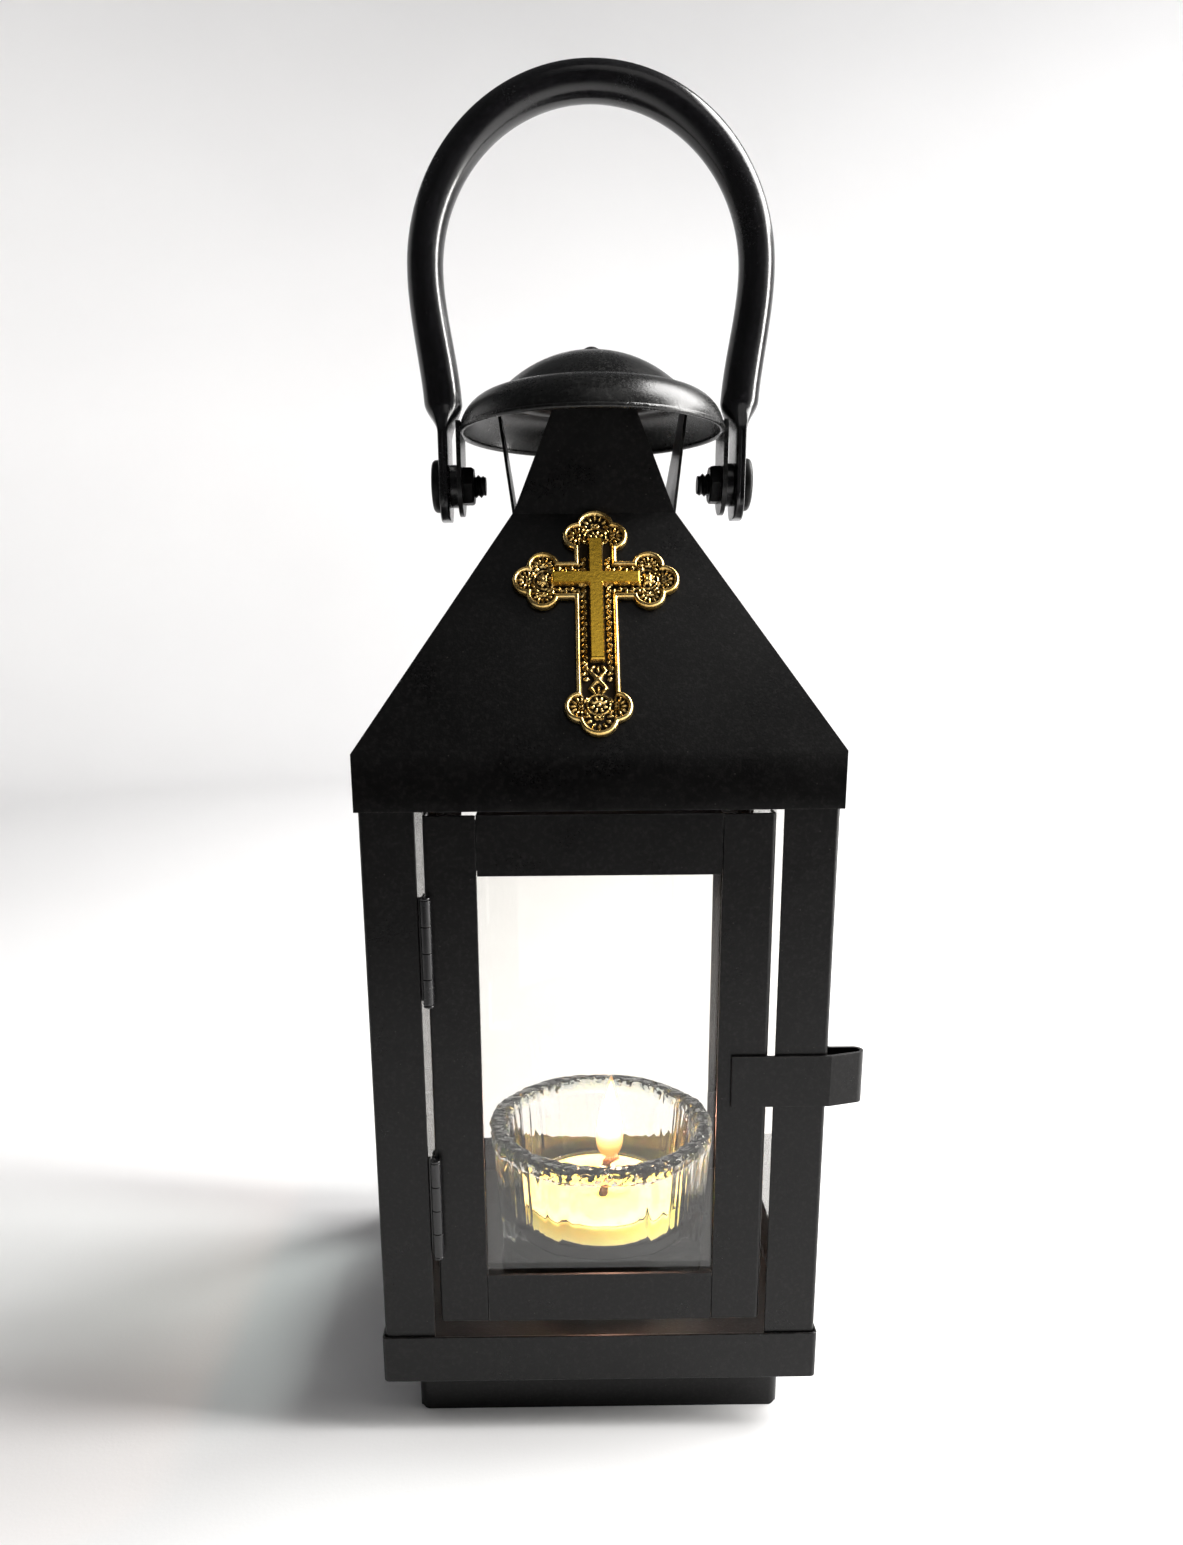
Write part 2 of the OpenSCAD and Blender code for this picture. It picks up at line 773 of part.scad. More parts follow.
// Three-lobed end of an arm, pointing +Y to the origin; r is its middle lobe's radius
module trefoil(g, r, step) {
    translate([0, -r]) circle(r - g);
    for (s = [-1, 1]) {
        translate([s * lobe_r, -r - step]) circle(lobe_r - g);
    }
    translate([-lobe_r, -r - step]) square([2 * lobe_r, step]);
}

// Outline of the cross with lobed arms, set in by g
module cross_outline(g) {
    half = arm_half - g;
    translate([-half, arm_inset]) square([2 * half, cross_h - 2 * arm_inset]);
    translate([-cross_w / 2 + arm_inset, arm_z - half]) square([cross_w - 2 * arm_inset, 2 * half]);
    translate([0, cross_h]) trefoil(g, tip_r, tip_step);
    mirror([0, 1]) trefoil(g, tip_r, tip_step);
    for (a = [-90, 90]) {
        translate([0, arm_z]) rotate(a) translate([0, cross_w / 2]) trefoil(g, lobe_r, lobe_step);
    }
}

module cross_plate() {
    color(gold) on_front_slope() translate([0, cross_foot, slip]) difference() {
        linear_extrude(cross_t + cross_rim_h) cross_outline(0);
        translate([0, 0, cross_t]) linear_extrude(cross_rim_h + 1) cross_outline(cross_rim);
    }
}

// Plain raised cross on the plate
module cross_face() {
    color(gold) on_front_slope() translate([0, cross_foot, slip + cross_t]) linear_extrude(face_t) {
        translate([-face_half, face_foot]) square([2 * face_half, arm_z + face_head - face_foot]);
        translate([-face_arm, arm_z - face_half]) square([2 * face_arm, 2 * face_half]);
    }
}

// ---- Candle ----

// Puts a child on the cup's axis
module on_cup_axis() {
    translate([cup_x, 0, 0]) children();
}

// Thick cup with a flat foot and a round corner inside
module cup() {
    rim_z0 = floor_z + cup_h;
    inner_top = cup_r - cup_wall;
    inner_foot = cup_foot_r - cup_foot_wall;
    outside = concat(
        [[0, floor_z]],
        reversed(arc([cup_foot_r - cup_foot_edge, floor_z + cup_foot_edge], cup_foot_edge, 90, 180, 4)),
        reversed(arc([cup_r - cup_rim_edge, rim_z0 - cup_rim_edge], cup_rim_edge, 0, 90, 6)));
    inside = concat(
        [[inner_top, rim_z0]],
        arc([inner_foot - cup_floor_edge, cup_floor_z + cup_floor_edge], cup_floor_edge, 90, 180, 12),
        [[0, cup_floor_z]]);
    color([0.9, 0.94, 0.94, 0.4]) on_cup_axis() rotate_extrude($fn = 96) polygon(concat(outside, inside));
}

// Round can with a rounded lower edge, set in by g, from its underside up to height h
module can(g, h) {
    r = tealight_d / 2 - g;
    edge = shell_edge - g;
    rotate_extrude($fn = 96)
        polygon(concat([[0, g]], reversed(arc([r - edge, g + edge], edge, 90, 180, 6)), [[r, h], [0, h]]));
}

// Shallow clear shell that holds the wax; it rests on the round corner of the cup's floor
module tealight_shell() {
    color([0.95, 0.95, 0.9, 0.4]) on_cup_axis() translate([0, 0, tealight_z]) difference() {
        can(0, tealight_h);
        can(shell_t, tealight_h + 1);
    }
}

module tealight_wax() {
    holder_z = shell_t + slip;
    color([0.98, 0.93, 0.72]) on_cup_axis() translate([0, 0, tealight_z]) difference() {
        can(shell_t + slip, tealight_h - wax_drop);
        cylinder(h = holder_z + holder_t, r = holder_r + slip);
        cylinder(h = holder_z + holder_t + holder_tube_h, r = holder_tube_r + slip);
        cylinder(h = tealight_h, r = wick_r + slip, $fn = 32);
    }
}

// Disc and tube that keep the wick upright
module wick_holder() {
    z0 = tealight_z + shell_t;
    color([0.75, 0.75, 0.76]) on_cup_axis() translate([0, 0, z0]) difference() {
        union() {
            cylinder(h = holder_t, r = holder_r);
            cylinder(h = holder_t + holder_tube_h, r = holder_tube_r, $fn = 32);
        }
        translate([0, 0, holder_t]) cylinder(h = holder_tube_h + 1, r = wick_r + slip, $fn = 32);
    }
}

module wick() {
    z0 = tealight_z + shell_t + holder_t;
    color([0.25, 0.22, 0.2]) on_cup_axis() translate([0, 0, z0])
        cylinder(h = wax_z + wick_h - z0, r = wick_r, $fn = 32);
}

foot_pan();
base_tray();
post_front_left();
post_front_right();
post_rear_left();
post_rear_right();
roof_shell();
cap();
cap_rivet();
glass_left();
glass_right();
glass_rear();
glass_clips_left();
glass_clips_right();
glass_clips_rear();
door_stile_left();
door_stile_right();
door_rail_top();
door_rail_bottom();
door_glass();
door_glass_clips();
hinge_upper_post_leaf();
hinge_upper_door_leaf();
hinge_upper_pin();
hinge_lower_post_leaf();
hinge_lower_door_leaf();
hinge_lower_pin();
clasp_strip();
bail_handle();
bail_screw_left();
bail_screw_right();
bail_spacer_left();
bail_spacer_right();
bail_nut_left();
bail_nut_right();
cross_plate();
cross_face();
cup();
tealight_shell();
tealight_wax();
wick_holder();
wick();
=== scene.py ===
"""Candle lantern of black painted sheet, lit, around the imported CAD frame.

Metres, +Z up, the door faces -Y. Object coordinates equal the frame's, because every piece keeps
its place in its mesh.
"""

import json
import math

import bmesh
import bpy
import numpy as np
from mathutils import Matrix, Vector, noise


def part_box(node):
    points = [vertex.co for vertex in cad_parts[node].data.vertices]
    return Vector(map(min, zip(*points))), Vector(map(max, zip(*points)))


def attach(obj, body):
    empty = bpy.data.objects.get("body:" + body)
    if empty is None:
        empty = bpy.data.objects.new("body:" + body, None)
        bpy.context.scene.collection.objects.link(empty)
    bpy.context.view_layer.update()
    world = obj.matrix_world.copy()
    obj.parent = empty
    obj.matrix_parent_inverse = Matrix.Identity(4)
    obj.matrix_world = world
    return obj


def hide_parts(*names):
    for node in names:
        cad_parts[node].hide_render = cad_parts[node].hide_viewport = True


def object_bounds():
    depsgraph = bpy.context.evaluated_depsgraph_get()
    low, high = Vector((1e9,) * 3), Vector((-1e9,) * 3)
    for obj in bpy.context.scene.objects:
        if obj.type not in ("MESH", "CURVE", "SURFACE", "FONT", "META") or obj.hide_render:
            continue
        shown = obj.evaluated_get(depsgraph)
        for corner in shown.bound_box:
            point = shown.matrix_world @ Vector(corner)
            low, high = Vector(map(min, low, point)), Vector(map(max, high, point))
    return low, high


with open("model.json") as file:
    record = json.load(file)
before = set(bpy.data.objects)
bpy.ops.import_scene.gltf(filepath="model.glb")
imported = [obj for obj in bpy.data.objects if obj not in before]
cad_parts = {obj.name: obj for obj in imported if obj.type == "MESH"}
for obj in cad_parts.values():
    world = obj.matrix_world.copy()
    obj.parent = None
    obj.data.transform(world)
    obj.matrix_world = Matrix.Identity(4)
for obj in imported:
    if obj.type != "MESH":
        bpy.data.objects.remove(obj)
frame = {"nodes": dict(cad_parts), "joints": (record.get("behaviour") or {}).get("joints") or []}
cad_low, cad_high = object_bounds()
MM = 0.001
TAU = 2 * math.pi


# ---- Shader nodes ----


class Shader:
    """A Principled material and short calls that add nodes to it."""

    def __init__(self, name, **values):
        self.material = bpy.data.materials.new(name)
        self.material.use_nodes = True
        self.tree = self.material.node_tree
        self.tree.nodes.clear()
        self.output = self.add("ShaderNodeOutputMaterial")
        self.bsdf = self.add("ShaderNodeBsdfPrincipled")
        self.join(self.bsdf.outputs["BSDF"], self.output.inputs["Surface"])
        self.place = self.add("ShaderNodeTexCoord").outputs["Object"]
        for socket, value in values.items():
            self.bsdf.inputs[socket.replace("_", " ")].default_value = value

    def add(self, kind, **settings):
        node = self.tree.nodes.new(kind)
        for key, value in settings.items():
            setattr(node, key, value)
        return node

    def join(self, start, end):
        self.tree.links.new(start, end)

    def feed(self, value, socket):
        """Links value to socket, or sets it there if it is a number or a colour."""
        if isinstance(value, bpy.types.NodeSocket):
            self.join(value, socket)
        else:
            socket.default_value = value

    def noise(self, size, detail=2.0, roughness=0.5, stretch=(1, 1, 1)):
        """Noise from 0 to 1 with features of that size in metres, drawn out by stretch along each axis."""
        node = self.add("ShaderNodeTexNoise")
        node.inputs["Scale"].default_value = 1 / size
        node.inputs["Detail"].default_value = detail
        node.inputs["Roughness"].default_value = roughness
        source = self.place
        if stretch != (1, 1, 1):
            source = self.vector("MULTIPLY", source, tuple(1 / s for s in stretch))
        self.join(source, node.inputs["Vector"])
        return node.outputs["Fac"]

    def cells(self, size):
        """Distance to the nearest of the scattered points that are about size apart."""
        node = self.add("ShaderNodeTexVoronoi")
        node.inputs["Scale"].default_value = 1 / size
        self.join(self.place, node.inputs["Vector"])
        return node.outputs["Distance"]

    def vector(self, operation, a, b):
        node = self.add("ShaderNodeVectorMath", operation=operation)
        self.feed(a, node.inputs[0])
        self.feed(b, node.inputs[1])
        return node.outputs["Value" if operation in ("DISTANCE", "DOT_PRODUCT") else "Vector"]

    def math(self, operation, a, b=0.0):
        node = self.add("ShaderNodeMath", operation=operation)
        self.feed(a, node.inputs[0])
        self.feed(b, node.inputs[1])
        return node.outputs["Value"]

    def span(self, value, low, high, to_low=0.0, to_high=1.0):
        """value from low to high as a number from to_low to to_high, clamped."""
        node = self.add("ShaderNodeMapRange")
        self.join(value, node.inputs["Value"])
        numbers = {"From Min": low, "From Max": high, "To Min": to_low, "To Max": to_high}
        for socket, number in numbers.items():
            node.inputs[socket].default_value = number
        return node.outputs["Result"]

    def vary(self, value, low, high):
        """The usual range of a noise as a number from low to high."""
        return self.span(value, 0.3, 0.7, low, high)

    def ramp(self, value, *stops):
        """Colour ramp over (position, (r, g, b)) stops."""
        node = self.add("ShaderNodeValToRGB")
        elements = node.color_ramp.elements
        while len(elements) < len(stops):
            elements.new(0.5)
        for element, (position, colour) in zip(elements, stops):
            element.position = position
            element.color = (*colour, 1)
        self.join(value, node.inputs["Fac"])
        return node.outputs["Color"]

    def mix(self, factor, a, b):
        """Colour a where factor is 0 and b where it is 1."""
        node = self.add("ShaderNodeMix", data_type="RGBA")
        self.feed(factor, node.inputs["Factor"])
        colour_a, colour_b, colour_result = 6, 7, 2
        for index, colour in ((colour_a, a), (colour_b, b)):
            self.feed((*colour, 1) if isinstance(colour, tuple) else colour, node.inputs[index])
        return node.outputs[colour_result]

    def axis(self, name):
        """One of the coordinates X, Y or Z in metres."""
        node = self.add("ShaderNodeSeparateXYZ")
        self.join(self.place, node.inputs[0])
        return node.outputs[name]

    def attribute(self, name):
        return self.add("ShaderNodeAttribute", attribute_name=name).outputs["Fac"]

    def bump(self, *layers):
        """Bumps from (height, depth in metres) layers, one on top of another."""
        normal = None
        for height, depth in layers:
            node = self.add("ShaderNodeBump")
            node.inputs["Strength"].default_value = 1.0
            node.inputs["Distance"].default_value = depth
            self.join(height, node.inputs["Height"])
            if normal is not None:
                self.join(normal, node.inputs["Normal"])
            normal = node.outputs["Normal"]
        self.join(normal, self.bsdf.inputs["Normal"])

    def worn_edges(self, width):
        """1 on a convex or concave edge, 0 on a flat face, from how far a rounded normal turns."""
        flat, sharp = 0.985, 0.9
        rounded = self.add("ShaderNodeBevel", samples=3)
        rounded.inputs["Radius"].default_value = width
        plain = self.add("ShaderNodeNewGeometry").outputs["Normal"]
        return self.span(self.vector("DOT_PRODUCT", rounded.outputs["Normal"], plain), flat, sharp)

    def lets_lamps_through(self, tint):
        """Lamps reach what is behind this glass, through a plain tint."""
        clear = self.add("ShaderNodeBsdfTransparent")
        clear.inputs["Color"].default_value = (*tint, 1)
        path = self.add("ShaderNodeLightPath")
        either = self.math("MAXIMUM", path.outputs["Is Shadow Ray"], path.outputs["Is Diffuse Ray"])
        mixed = self.add("ShaderNodeMixShader")
        self.join(either, mixed.inputs[0])
        self.join(self.bsdf.outputs["BSDF"], mixed.inputs[1])
        self.join(clear.outputs["BSDF"], mixed.inputs[2])
        self.join(mixed.outputs["Shader"], self.output.inputs["Surface"])


# ---- Materials ----


def paint(name, colour, roughness, grain, wear, shine):
    """Black paint with a grain that deep: faint blotches, specks of dust and slightly rubbed edges."""
    dust, bare = (0.12, 0.11, 0.10), (0.10, 0.098, 0.095)
    crest_gain = 2 + 230 * grain / MM
    dark, light, pale = (tuple(c * k for c in colour) for k in (0.75, 1.3, crest_gain))
    s = Shader(name, Specular_IOR_Level=shine)
    blotch = s.noise(14 * MM, 3)
    fine = s.noise(0.45 * MM, 2, 0.6)
    specks = s.span(s.cells(3.2 * MM), 0.055, 0.03)
    rubbed = s.span(s.noise(2.4 * MM, 3), 0.42, 0.66)
    edges = s.math("MULTIPLY", s.worn_edges(0.35 * MM), rubbed)
    tone = s.mix(s.span(blotch, 0.35, 0.65), dark, light)
    tone = s.mix(s.span(s.noise(0.9 * MM, 2, 0.7), 0.48, 0.8), tone, pale)
    tone = s.mix(s.math("MULTIPLY", specks, 0.25), tone, dust)
    tone = s.mix(s.math("MULTIPLY", edges, wear), tone, bare)
    s.join(tone, s.bsdf.inputs["Base Color"])
    rough = s.vary(blotch, roughness - 0.04, roughness + 0.05)
    rough = s.math("ADD", rough, s.vary(fine, -0.04, 0.04))
    rough = s.math("SUBTRACT", rough, s.math("MULTIPLY", edges, 0.12))
    s.join(rough, s.bsdf.inputs["Roughness"])
    s.bump((s.noise(9 * MM, 2), 0.06 * MM), (fine, grain))
    return s.material


def float_glass():
    """Clear pane with a faint warm grey tint and a few dull smudges."""
    s = Shader("float_glass", Transmission_Weight=1.0, IOR=1.5)
    smudge = s.span(s.noise(22 * MM, 4, 0.6), 0.52, 0.75)
    s.join(s.span(smudge, 0, 1, 0.0, 0.035), s.bsdf.inputs["Roughness"])
    s.join(s.mix(smudge, (0.875, 0.867, 0.845), (0.85, 0.842, 0.82)), s.bsdf.inputs["Base Color"])
    s.bump((s.noise(30 * MM, 1), 0.02 * MM))
    s.lets_lamps_through((0.93, 0.95, 0.945))
    return s.material


def pressed_glass(rim):
    """Thick pressed glass, rippled by the mould, greener and lumpier near its fire-polished rim."""
    s = Shader("pressed_glass", Transmission_Weight=1.0, IOR=1.5)
    near_rim = s.span(s.axis("Z"), rim - 4 * MM, rim - 1 * MM)
    s.join(s.mix(near_rim, (0.93, 0.935, 0.925), (0.56, 0.63, 0.59)), s.bsdf.inputs["Base Color"])
    s.join(s.span(s.noise(4 * MM, 3), 0.5, 0.8, 0.0, 0.015), s.bsdf.inputs["Roughness"])
    ripples = s.noise(6 * MM, 2, 0.5, (1, 1, 2.5))
    lumps = s.math("MULTIPLY", s.noise(2.2 * MM, 1, 0.4), near_rim)
    pits = s.noise(1.6 * MM, 2)
    s.bump((ripples, 0.12 * MM), (lumps, 1.6 * MM), (pits, 0.008 * MM))
    s.lets_lamps_through((0.88, 0.9, 0.89))
    return s.material


def clear_plastic():
    """Thin clear can of the tealight, faintly yellow and a little cloudy."""
    s = Shader("clear_plastic", Transmission_Weight=1.0, IOR=1.42)
    s.join(s.mix(s.noise(5 * MM, 2), (0.99, 0.98, 0.94), (0.96, 0.94, 0.88)), s.bsdf.inputs["Base Color"])
    s.join(s.span(s.noise(2 * MM, 3), 0.3, 0.8, 0.03, 0.12), s.bsdf.inputs["Roughness"])
    s.bump((s.noise(3 * MM, 2), 0.03 * MM))
    s.lets_lamps_through((0.95, 0.93, 0.88))
    return s.material


def wax_with_painted_glow(top, base, axis_x):
    """Cream wax with painted glow: the flame's light shining through it is painted into its colour and given
    as light of its own, orange towards the foot.
    """
    s = Shader("wax_with_painted_glow", Subsurface_Weight=0.5, Subsurface_Scale=4 * MM, IOR=1.43)
    s.bsdf.inputs["Subsurface Radius"].default_value = (1.0, 0.6, 0.25)
    blotch = s.noise(5 * MM, 3)
    uneven = s.math("MULTIPLY", s.math("SUBTRACT", blotch, 0.5), 1.5 * MM)
    height = s.span(s.math("ADD", s.axis("Z"), uneven), base, top)
    # Painted glow: the wax's colour runs from orange at the foot to yellow at the top, standing in for the
    # flame's light shining through it.
    wax_and_painted_glow_colours = (
        (0.0, (0.93, 0.58, 0.34)), (0.3, (0.95, 0.76, 0.26)),
        (0.85, (0.92, 0.78, 0.16)), (1.0, (0.95, 0.84, 0.32)),
    )
    # Painted glow: the light the wax gives off, orange-red at the foot.
    glow = (
        (0.0, (1.0, 0.50, 0.24)), (0.1, (1.0, 0.76, 0.42)),
        (0.35, (1.0, 0.88, 0.30)), (1.0, (0.55, 0.44, 0.10)),
    )
    s.join(s.ramp(height, *wax_and_painted_glow_colours), s.bsdf.inputs["Base Color"])
    s.join(s.ramp(height, *glow), s.bsdf.inputs["Emission Color"])
    # Painted glow, a little stronger away from the wick's axis, towards the wax's wall.
    away = s.vector("DISTANCE", s.vector("MULTIPLY", s.place, (1, 1, 0)), (axis_x, 0, 0))
    s.join(s.span(away, 6 * MM, 18 * MM, 0.8, 1.1), s.bsdf.inputs["Emission Strength"])
    s.join(s.vary(blotch, 0.22, 0.42), s.bsdf.inputs["Roughness"])
    s.bump((s.noise(2.5 * MM, 3), 0.05 * MM))
    return s.material


def charred_cotton(tip):
    """Braided wick: soot black, with a glowing end."""
    s = Shader("charred_cotton", Roughness=0.95, Specular_IOR_Level=0.2)
    strand = s.noise(0.35 * MM, 3, 0.6, (1, 1, 2.2))
    ember = s.span(s.axis("Z"), tip - 2.6 * MM, tip)
    s.join(s.mix(strand, (0.012, 0.009, 0.008), (0.11, 0.07, 0.045)), s.bsdf.inputs["Base Color"])
    s.join(s.mix(ember, (0.25, 0.03, 0.0), (1.0, 0.28, 0.05)), s.bsdf.inputs["Emission Color"])
    s.join(s.math("MULTIPLY", ember, s.vary(strand, 0.8, 3.0)), s.bsdf.inputs["Emission Strength"])
    s.bump((strand, 0.15 * MM))
    return s.material


def tin_plate():
    """Bright stamped plate of the wick holder, brushed along X."""
    s = Shader("tin_plate", Metallic=1.0)
    grain = s.noise(1.2 * MM, 3, 0.6, (6, 1, 1))
    s.join(s.mix(grain, (0.56, 0.56, 0.57), (0.78, 0.77, 0.75)), s.bsdf.inputs["Base Color"])
    s.join(s.vary(grain, 0.22, 0.42), s.bsdf.inputs["Roughness"])
    s.bump((grain, 0.02 * MM))
    return s.material


def antique_gold():
    """Cast gold finish, rubbed bright where proud, olive on the plain cross and dark in the recesses."""
    bright, brown, olive = (0.80, 0.58, 0.24), (0.66, 0.42, 0.12), (0.84, 0.51, 0.055)
    recess = (0.030, 0.022, 0.014)
    s = Shader("antique_gold", Metallic=1.0)
    mottle = s.noise(1.1 * MM, 4, 0.65)
    uneven = s.math("MULTIPLY", s.math("SUBTRACT", mottle, 0.5), 0.4)
    shown = s.span(s.math("ADD", s.attribute("proud"), uneven), 0.1, 0.5)
    metal = s.mix(s.span(s.noise(4 * MM, 3), 0.35, 0.65), bright, brown)
    metal = s.mix(s.attribute("plain"), metal, olive)
    s.join(s.mix(shown, recess, metal), s.bsdf.inputs["Base Color"])
    rough = s.math("ADD", s.span(shown, 0, 1, 0.5, 0.22), s.vary(mottle, -0.05, 0.08))
    s.join(rough, s.bsdf.inputs["Roughness"])
    s.bump((s.noise(0.8 * MM, 3), 0.035 * MM), (s.noise(0.22 * MM, 2), 0.008 * MM))
    return s.material


def burning(name, base, top, opacity, strength, stops):
    """Flame gas: light of its own that thins out towards its ends."""
    density = ((0.0, 0.3), (0.05, 0.95), (0.3, 1.0), (0.7, 0.9), (1.0, 0.0))
    s = Shader(name, Roughness=1.0, Specular_IOR_Level=0.0)
    s.bsdf.inputs["Base Color"].default_value = (0, 0, 0, 1)
    height = s.span(s.axis("Z"), base, top)
    s.join(s.ramp(height, *stops), s.bsdf.inputs["Emission Color"])
    waver = s.vary(s.noise(6 * MM, 2, 0.5, (1, 1, 2)), 0.9, 1.1)
    s.join(s.math("MULTIPLY", waver, strength), s.bsdf.inputs["Emission Strength"])
    thick = s.ramp(height, *((place, (level,) * 3) for place, level in density))
    s.join(s.math("MULTIPLY", thick, opacity), s.bsdf.inputs["Alpha"])
    return s.material


def studio_floor():
    """Pale paper with painted shade: its colour darkens towards the front left of the room."""
    shade_from, shade_to, slant = -0.25, -0.70, 0.4
    s = Shader("studio_floor", Specular_IOR_Level=0.2)
    soft = s.noise(0.35, 2)
    pale = s.mix(soft, (0.80, 0.795, 0.80), (0.86, 0.858, 0.86))
    depth = s.math("ADD", s.axis("Y"), s.math("MULTIPLY", s.axis("X"), slant))
    # Painted shade: the paper's colour goes dark towards the front left.
    painted_shade_colour = s.mix(s.span(depth, shade_from, shade_to), pale, (0.06, 0.06, 0.062))
    s.join(painted_shade_colour, s.bsdf.inputs["Base Color"])
    s.join(s.vary(soft, 0.6, 0.75), s.bsdf.inputs["Roughness"])
    s.bump((s.noise(0.8 * MM, 2), 0.02 * MM))
    return s.material


# ---- Meshes ----

WELD_GAP = 0.002 * MM
FLAT_ANGLE = math.radians(0.3)
EDGE_ANGLE = math.radians(40)


def smooth_object(name, bm, material):
    """Object in the scene from bm, which is freed, with all its faces smooth."""
    mesh = bpy.data.meshes.new(name)
    bm.to_mesh(mesh)
    bm.free()
    mesh.polygons.foreach_set("use_smooth", [True] * len(mesh.polygons))
    mesh.materials.append(material)
    thing = bpy.data.objects.new(name, mesh)
    bpy.context.scene.collection.objects.link(thing)
    return thing


def build(name, bm, material, body, stands_for=(), sharp=60):
    """A finished piece from bm: smooth but for its edges that turn more than sharp degrees."""
    bmesh.ops.recalc_face_normals(bm, faces=bm.faces)
    piece = smooth_object(name, bm, material)
    piece.data.set_sharp_from_angle(angle=math.radians(sharp))
    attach(piece, body)
    if stands_for:
        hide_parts(*stands_for)
    return piece


def polar(r, turn, h):
    """Point at radius r, turn radians round the Z axis from X, and height h."""
    return Vector((r * math.cos(turn), r * math.sin(turn), h))


def skin(bm, rows):
    """Faces between successive closed rows of vertices; a row of one vertex is a tip."""
    for a, b in zip(rows, rows[1:]):
        count = max(len(a), len(b))
        for j in range(count):
            k = (j + 1) % count
            if len(a) == 1:
                bm.faces.new((a[0], b[k], b[j]))
            elif len(b) == 1:
                bm.faces.new((a[j], a[k], b[0]))
            else:
                bm.faces.new((a[j], a[k], b[k], b[j]))


def loft(bm, rings):
    """Faces between successive rings of points, closed at both ends."""
    rows = [[bm.verts.new(p) for p in ring] for ring in rings]
    skin(bm, rows)
    bm.faces.new(rows[0][::-1])
    bm.faces.new(rows[-1])


def lathe(bm, profile, place, sides=96, shape=None):
    """Turns (radius, height) points round place's Z axis. shape(angle, i, r) may change a ring's radius."""
    rows = []
    for i, (r, h) in enumerate(profile):
        if r == 0:
            rows.append([bm.verts.new(place @ Vector((0, 0, h)))])
            continue
        row = []
        for j in range(sides):
            turn = TAU * j / sides
            row.append(bm.verts.new(place @ polar(shape(turn, i, r) if shape else r, turn, h)))
        rows.append(row)
    skin(bm, rows)


def arc(cx, cy, r, start, end, steps):
    """Points round (cx, cy), angles in degrees from +X."""
    turns = [math.radians(start + (end - start) * i / steps) for i in range(steps + 1)]
    return [(cx + r * math.cos(t), cy + r * math.sin(t)) for t in turns]


def smoothstep(t):
    t = min(1.0, max(0.0, t))
    return t * t * (3 - 2 * t)


def lerp(a, b, t):
    return a + (b - a) * t


def edge_rounding(node, width, material):
    """The CAD piece itself, in its material, with its edges rounded by modifiers."""
    piece = frame["nodes"][node]
    mesh = piece.data
    for leftover in ("custom_normal", "sharp_edge"):
        if leftover in mesh.attributes:
            mesh.attributes.remove(mesh.attributes[leftover])
    mesh.polygons.foreach_set("use_smooth", [True] * len(mesh.polygons))
    mesh.materials.clear()
    mesh.materials.append(material)
    piece.modifiers.new("weld", "WELD").merge_threshold = WELD_GAP
    flat = piece.modifiers.new("flat", "DECIMATE")
    flat.decimate_type = "DISSOLVE"
    flat.angle_limit = FLAT_ANGLE
    bevel = piece.modifiers.new("edges", "BEVEL")
    bevel.width = width
    bevel.segments = 2
    bevel.limit_method = "ANGLE"
    bevel.angle_limit = EDGE_ANGLE
    bevel.use_clamp_overlap = True
    weighted = piece.modifiers.new("shading", "WEIGHTED_NORMAL")
    weighted.keep_sharp = False
    weighted.weight = 100


def carved(bm, cutter):
    """bm with cutter's shape cut out of it; both are used up."""
    objects = []
    for part in (bm, cutter):
        bmesh.ops.recalc_face_normals(part, faces=part.faces)
        mesh = bpy.data.meshes.new("carving")
        part.to_mesh(mesh)
        part.free()
        objects.append(bpy.data.objects.new("carving", mesh))
        bpy.context.scene.collection.objects.link(objects[-1])
    cut = objects[0].modifiers.new("cut", "BOOLEAN")
    cut.object = objects[1]
    cut.operation = "DIFFERENCE"
    cut.solver = "EXACT"
    shaped = objects[0].evaluated_get(bpy.context.evaluated_depsgraph_get())
    result = bmesh.new()
    result.from_mesh(shaped.to_mesh())
    for leftover in objects:
        mesh = leftover.data
        bpy.data.objects.remove(leftover)
        bpy.data.meshes.remove(mesh)
    return result


# ---- Bail ----

PIVOT_Z = next(j["pos_m"][2] for j in frame["joints"] if j["name"] == "bail_swing")
BAIL_D = 7.8 * MM
BAIL_SIDES = 48
SWELL = 0.08
SWELL_TOP = 22 * MM
SWELL_FADE = 24 * MM
FLAT_T = 2.2 * MM
FLAT_W = 13 * MM
FLAT_TOP = 10.4 * MM
FLAT_FOOT = 7.6 * MM
FLAT_CORNER = 5 * MM
FLAT_POWER = 0.25
NOTCH = 0.35 * MM
NOTCH_SPREAD = 0.12
CRUSH_H = 7 * MM
SWAY_H = 29.9 * MM
LEG_X = 32.8 * MM
SCREW_R = 2.5 * MM
BORE_GAP = 0.1 * MM
HEAD_H = 1.7 * MM
HEAD_EDGE = 0.9 * MM
RECESS = (5.2 * MM, 1.0 * MM, 2.0 * MM)
PITCH = 1.15 * MM
THREAD_H = 0.6 * MM


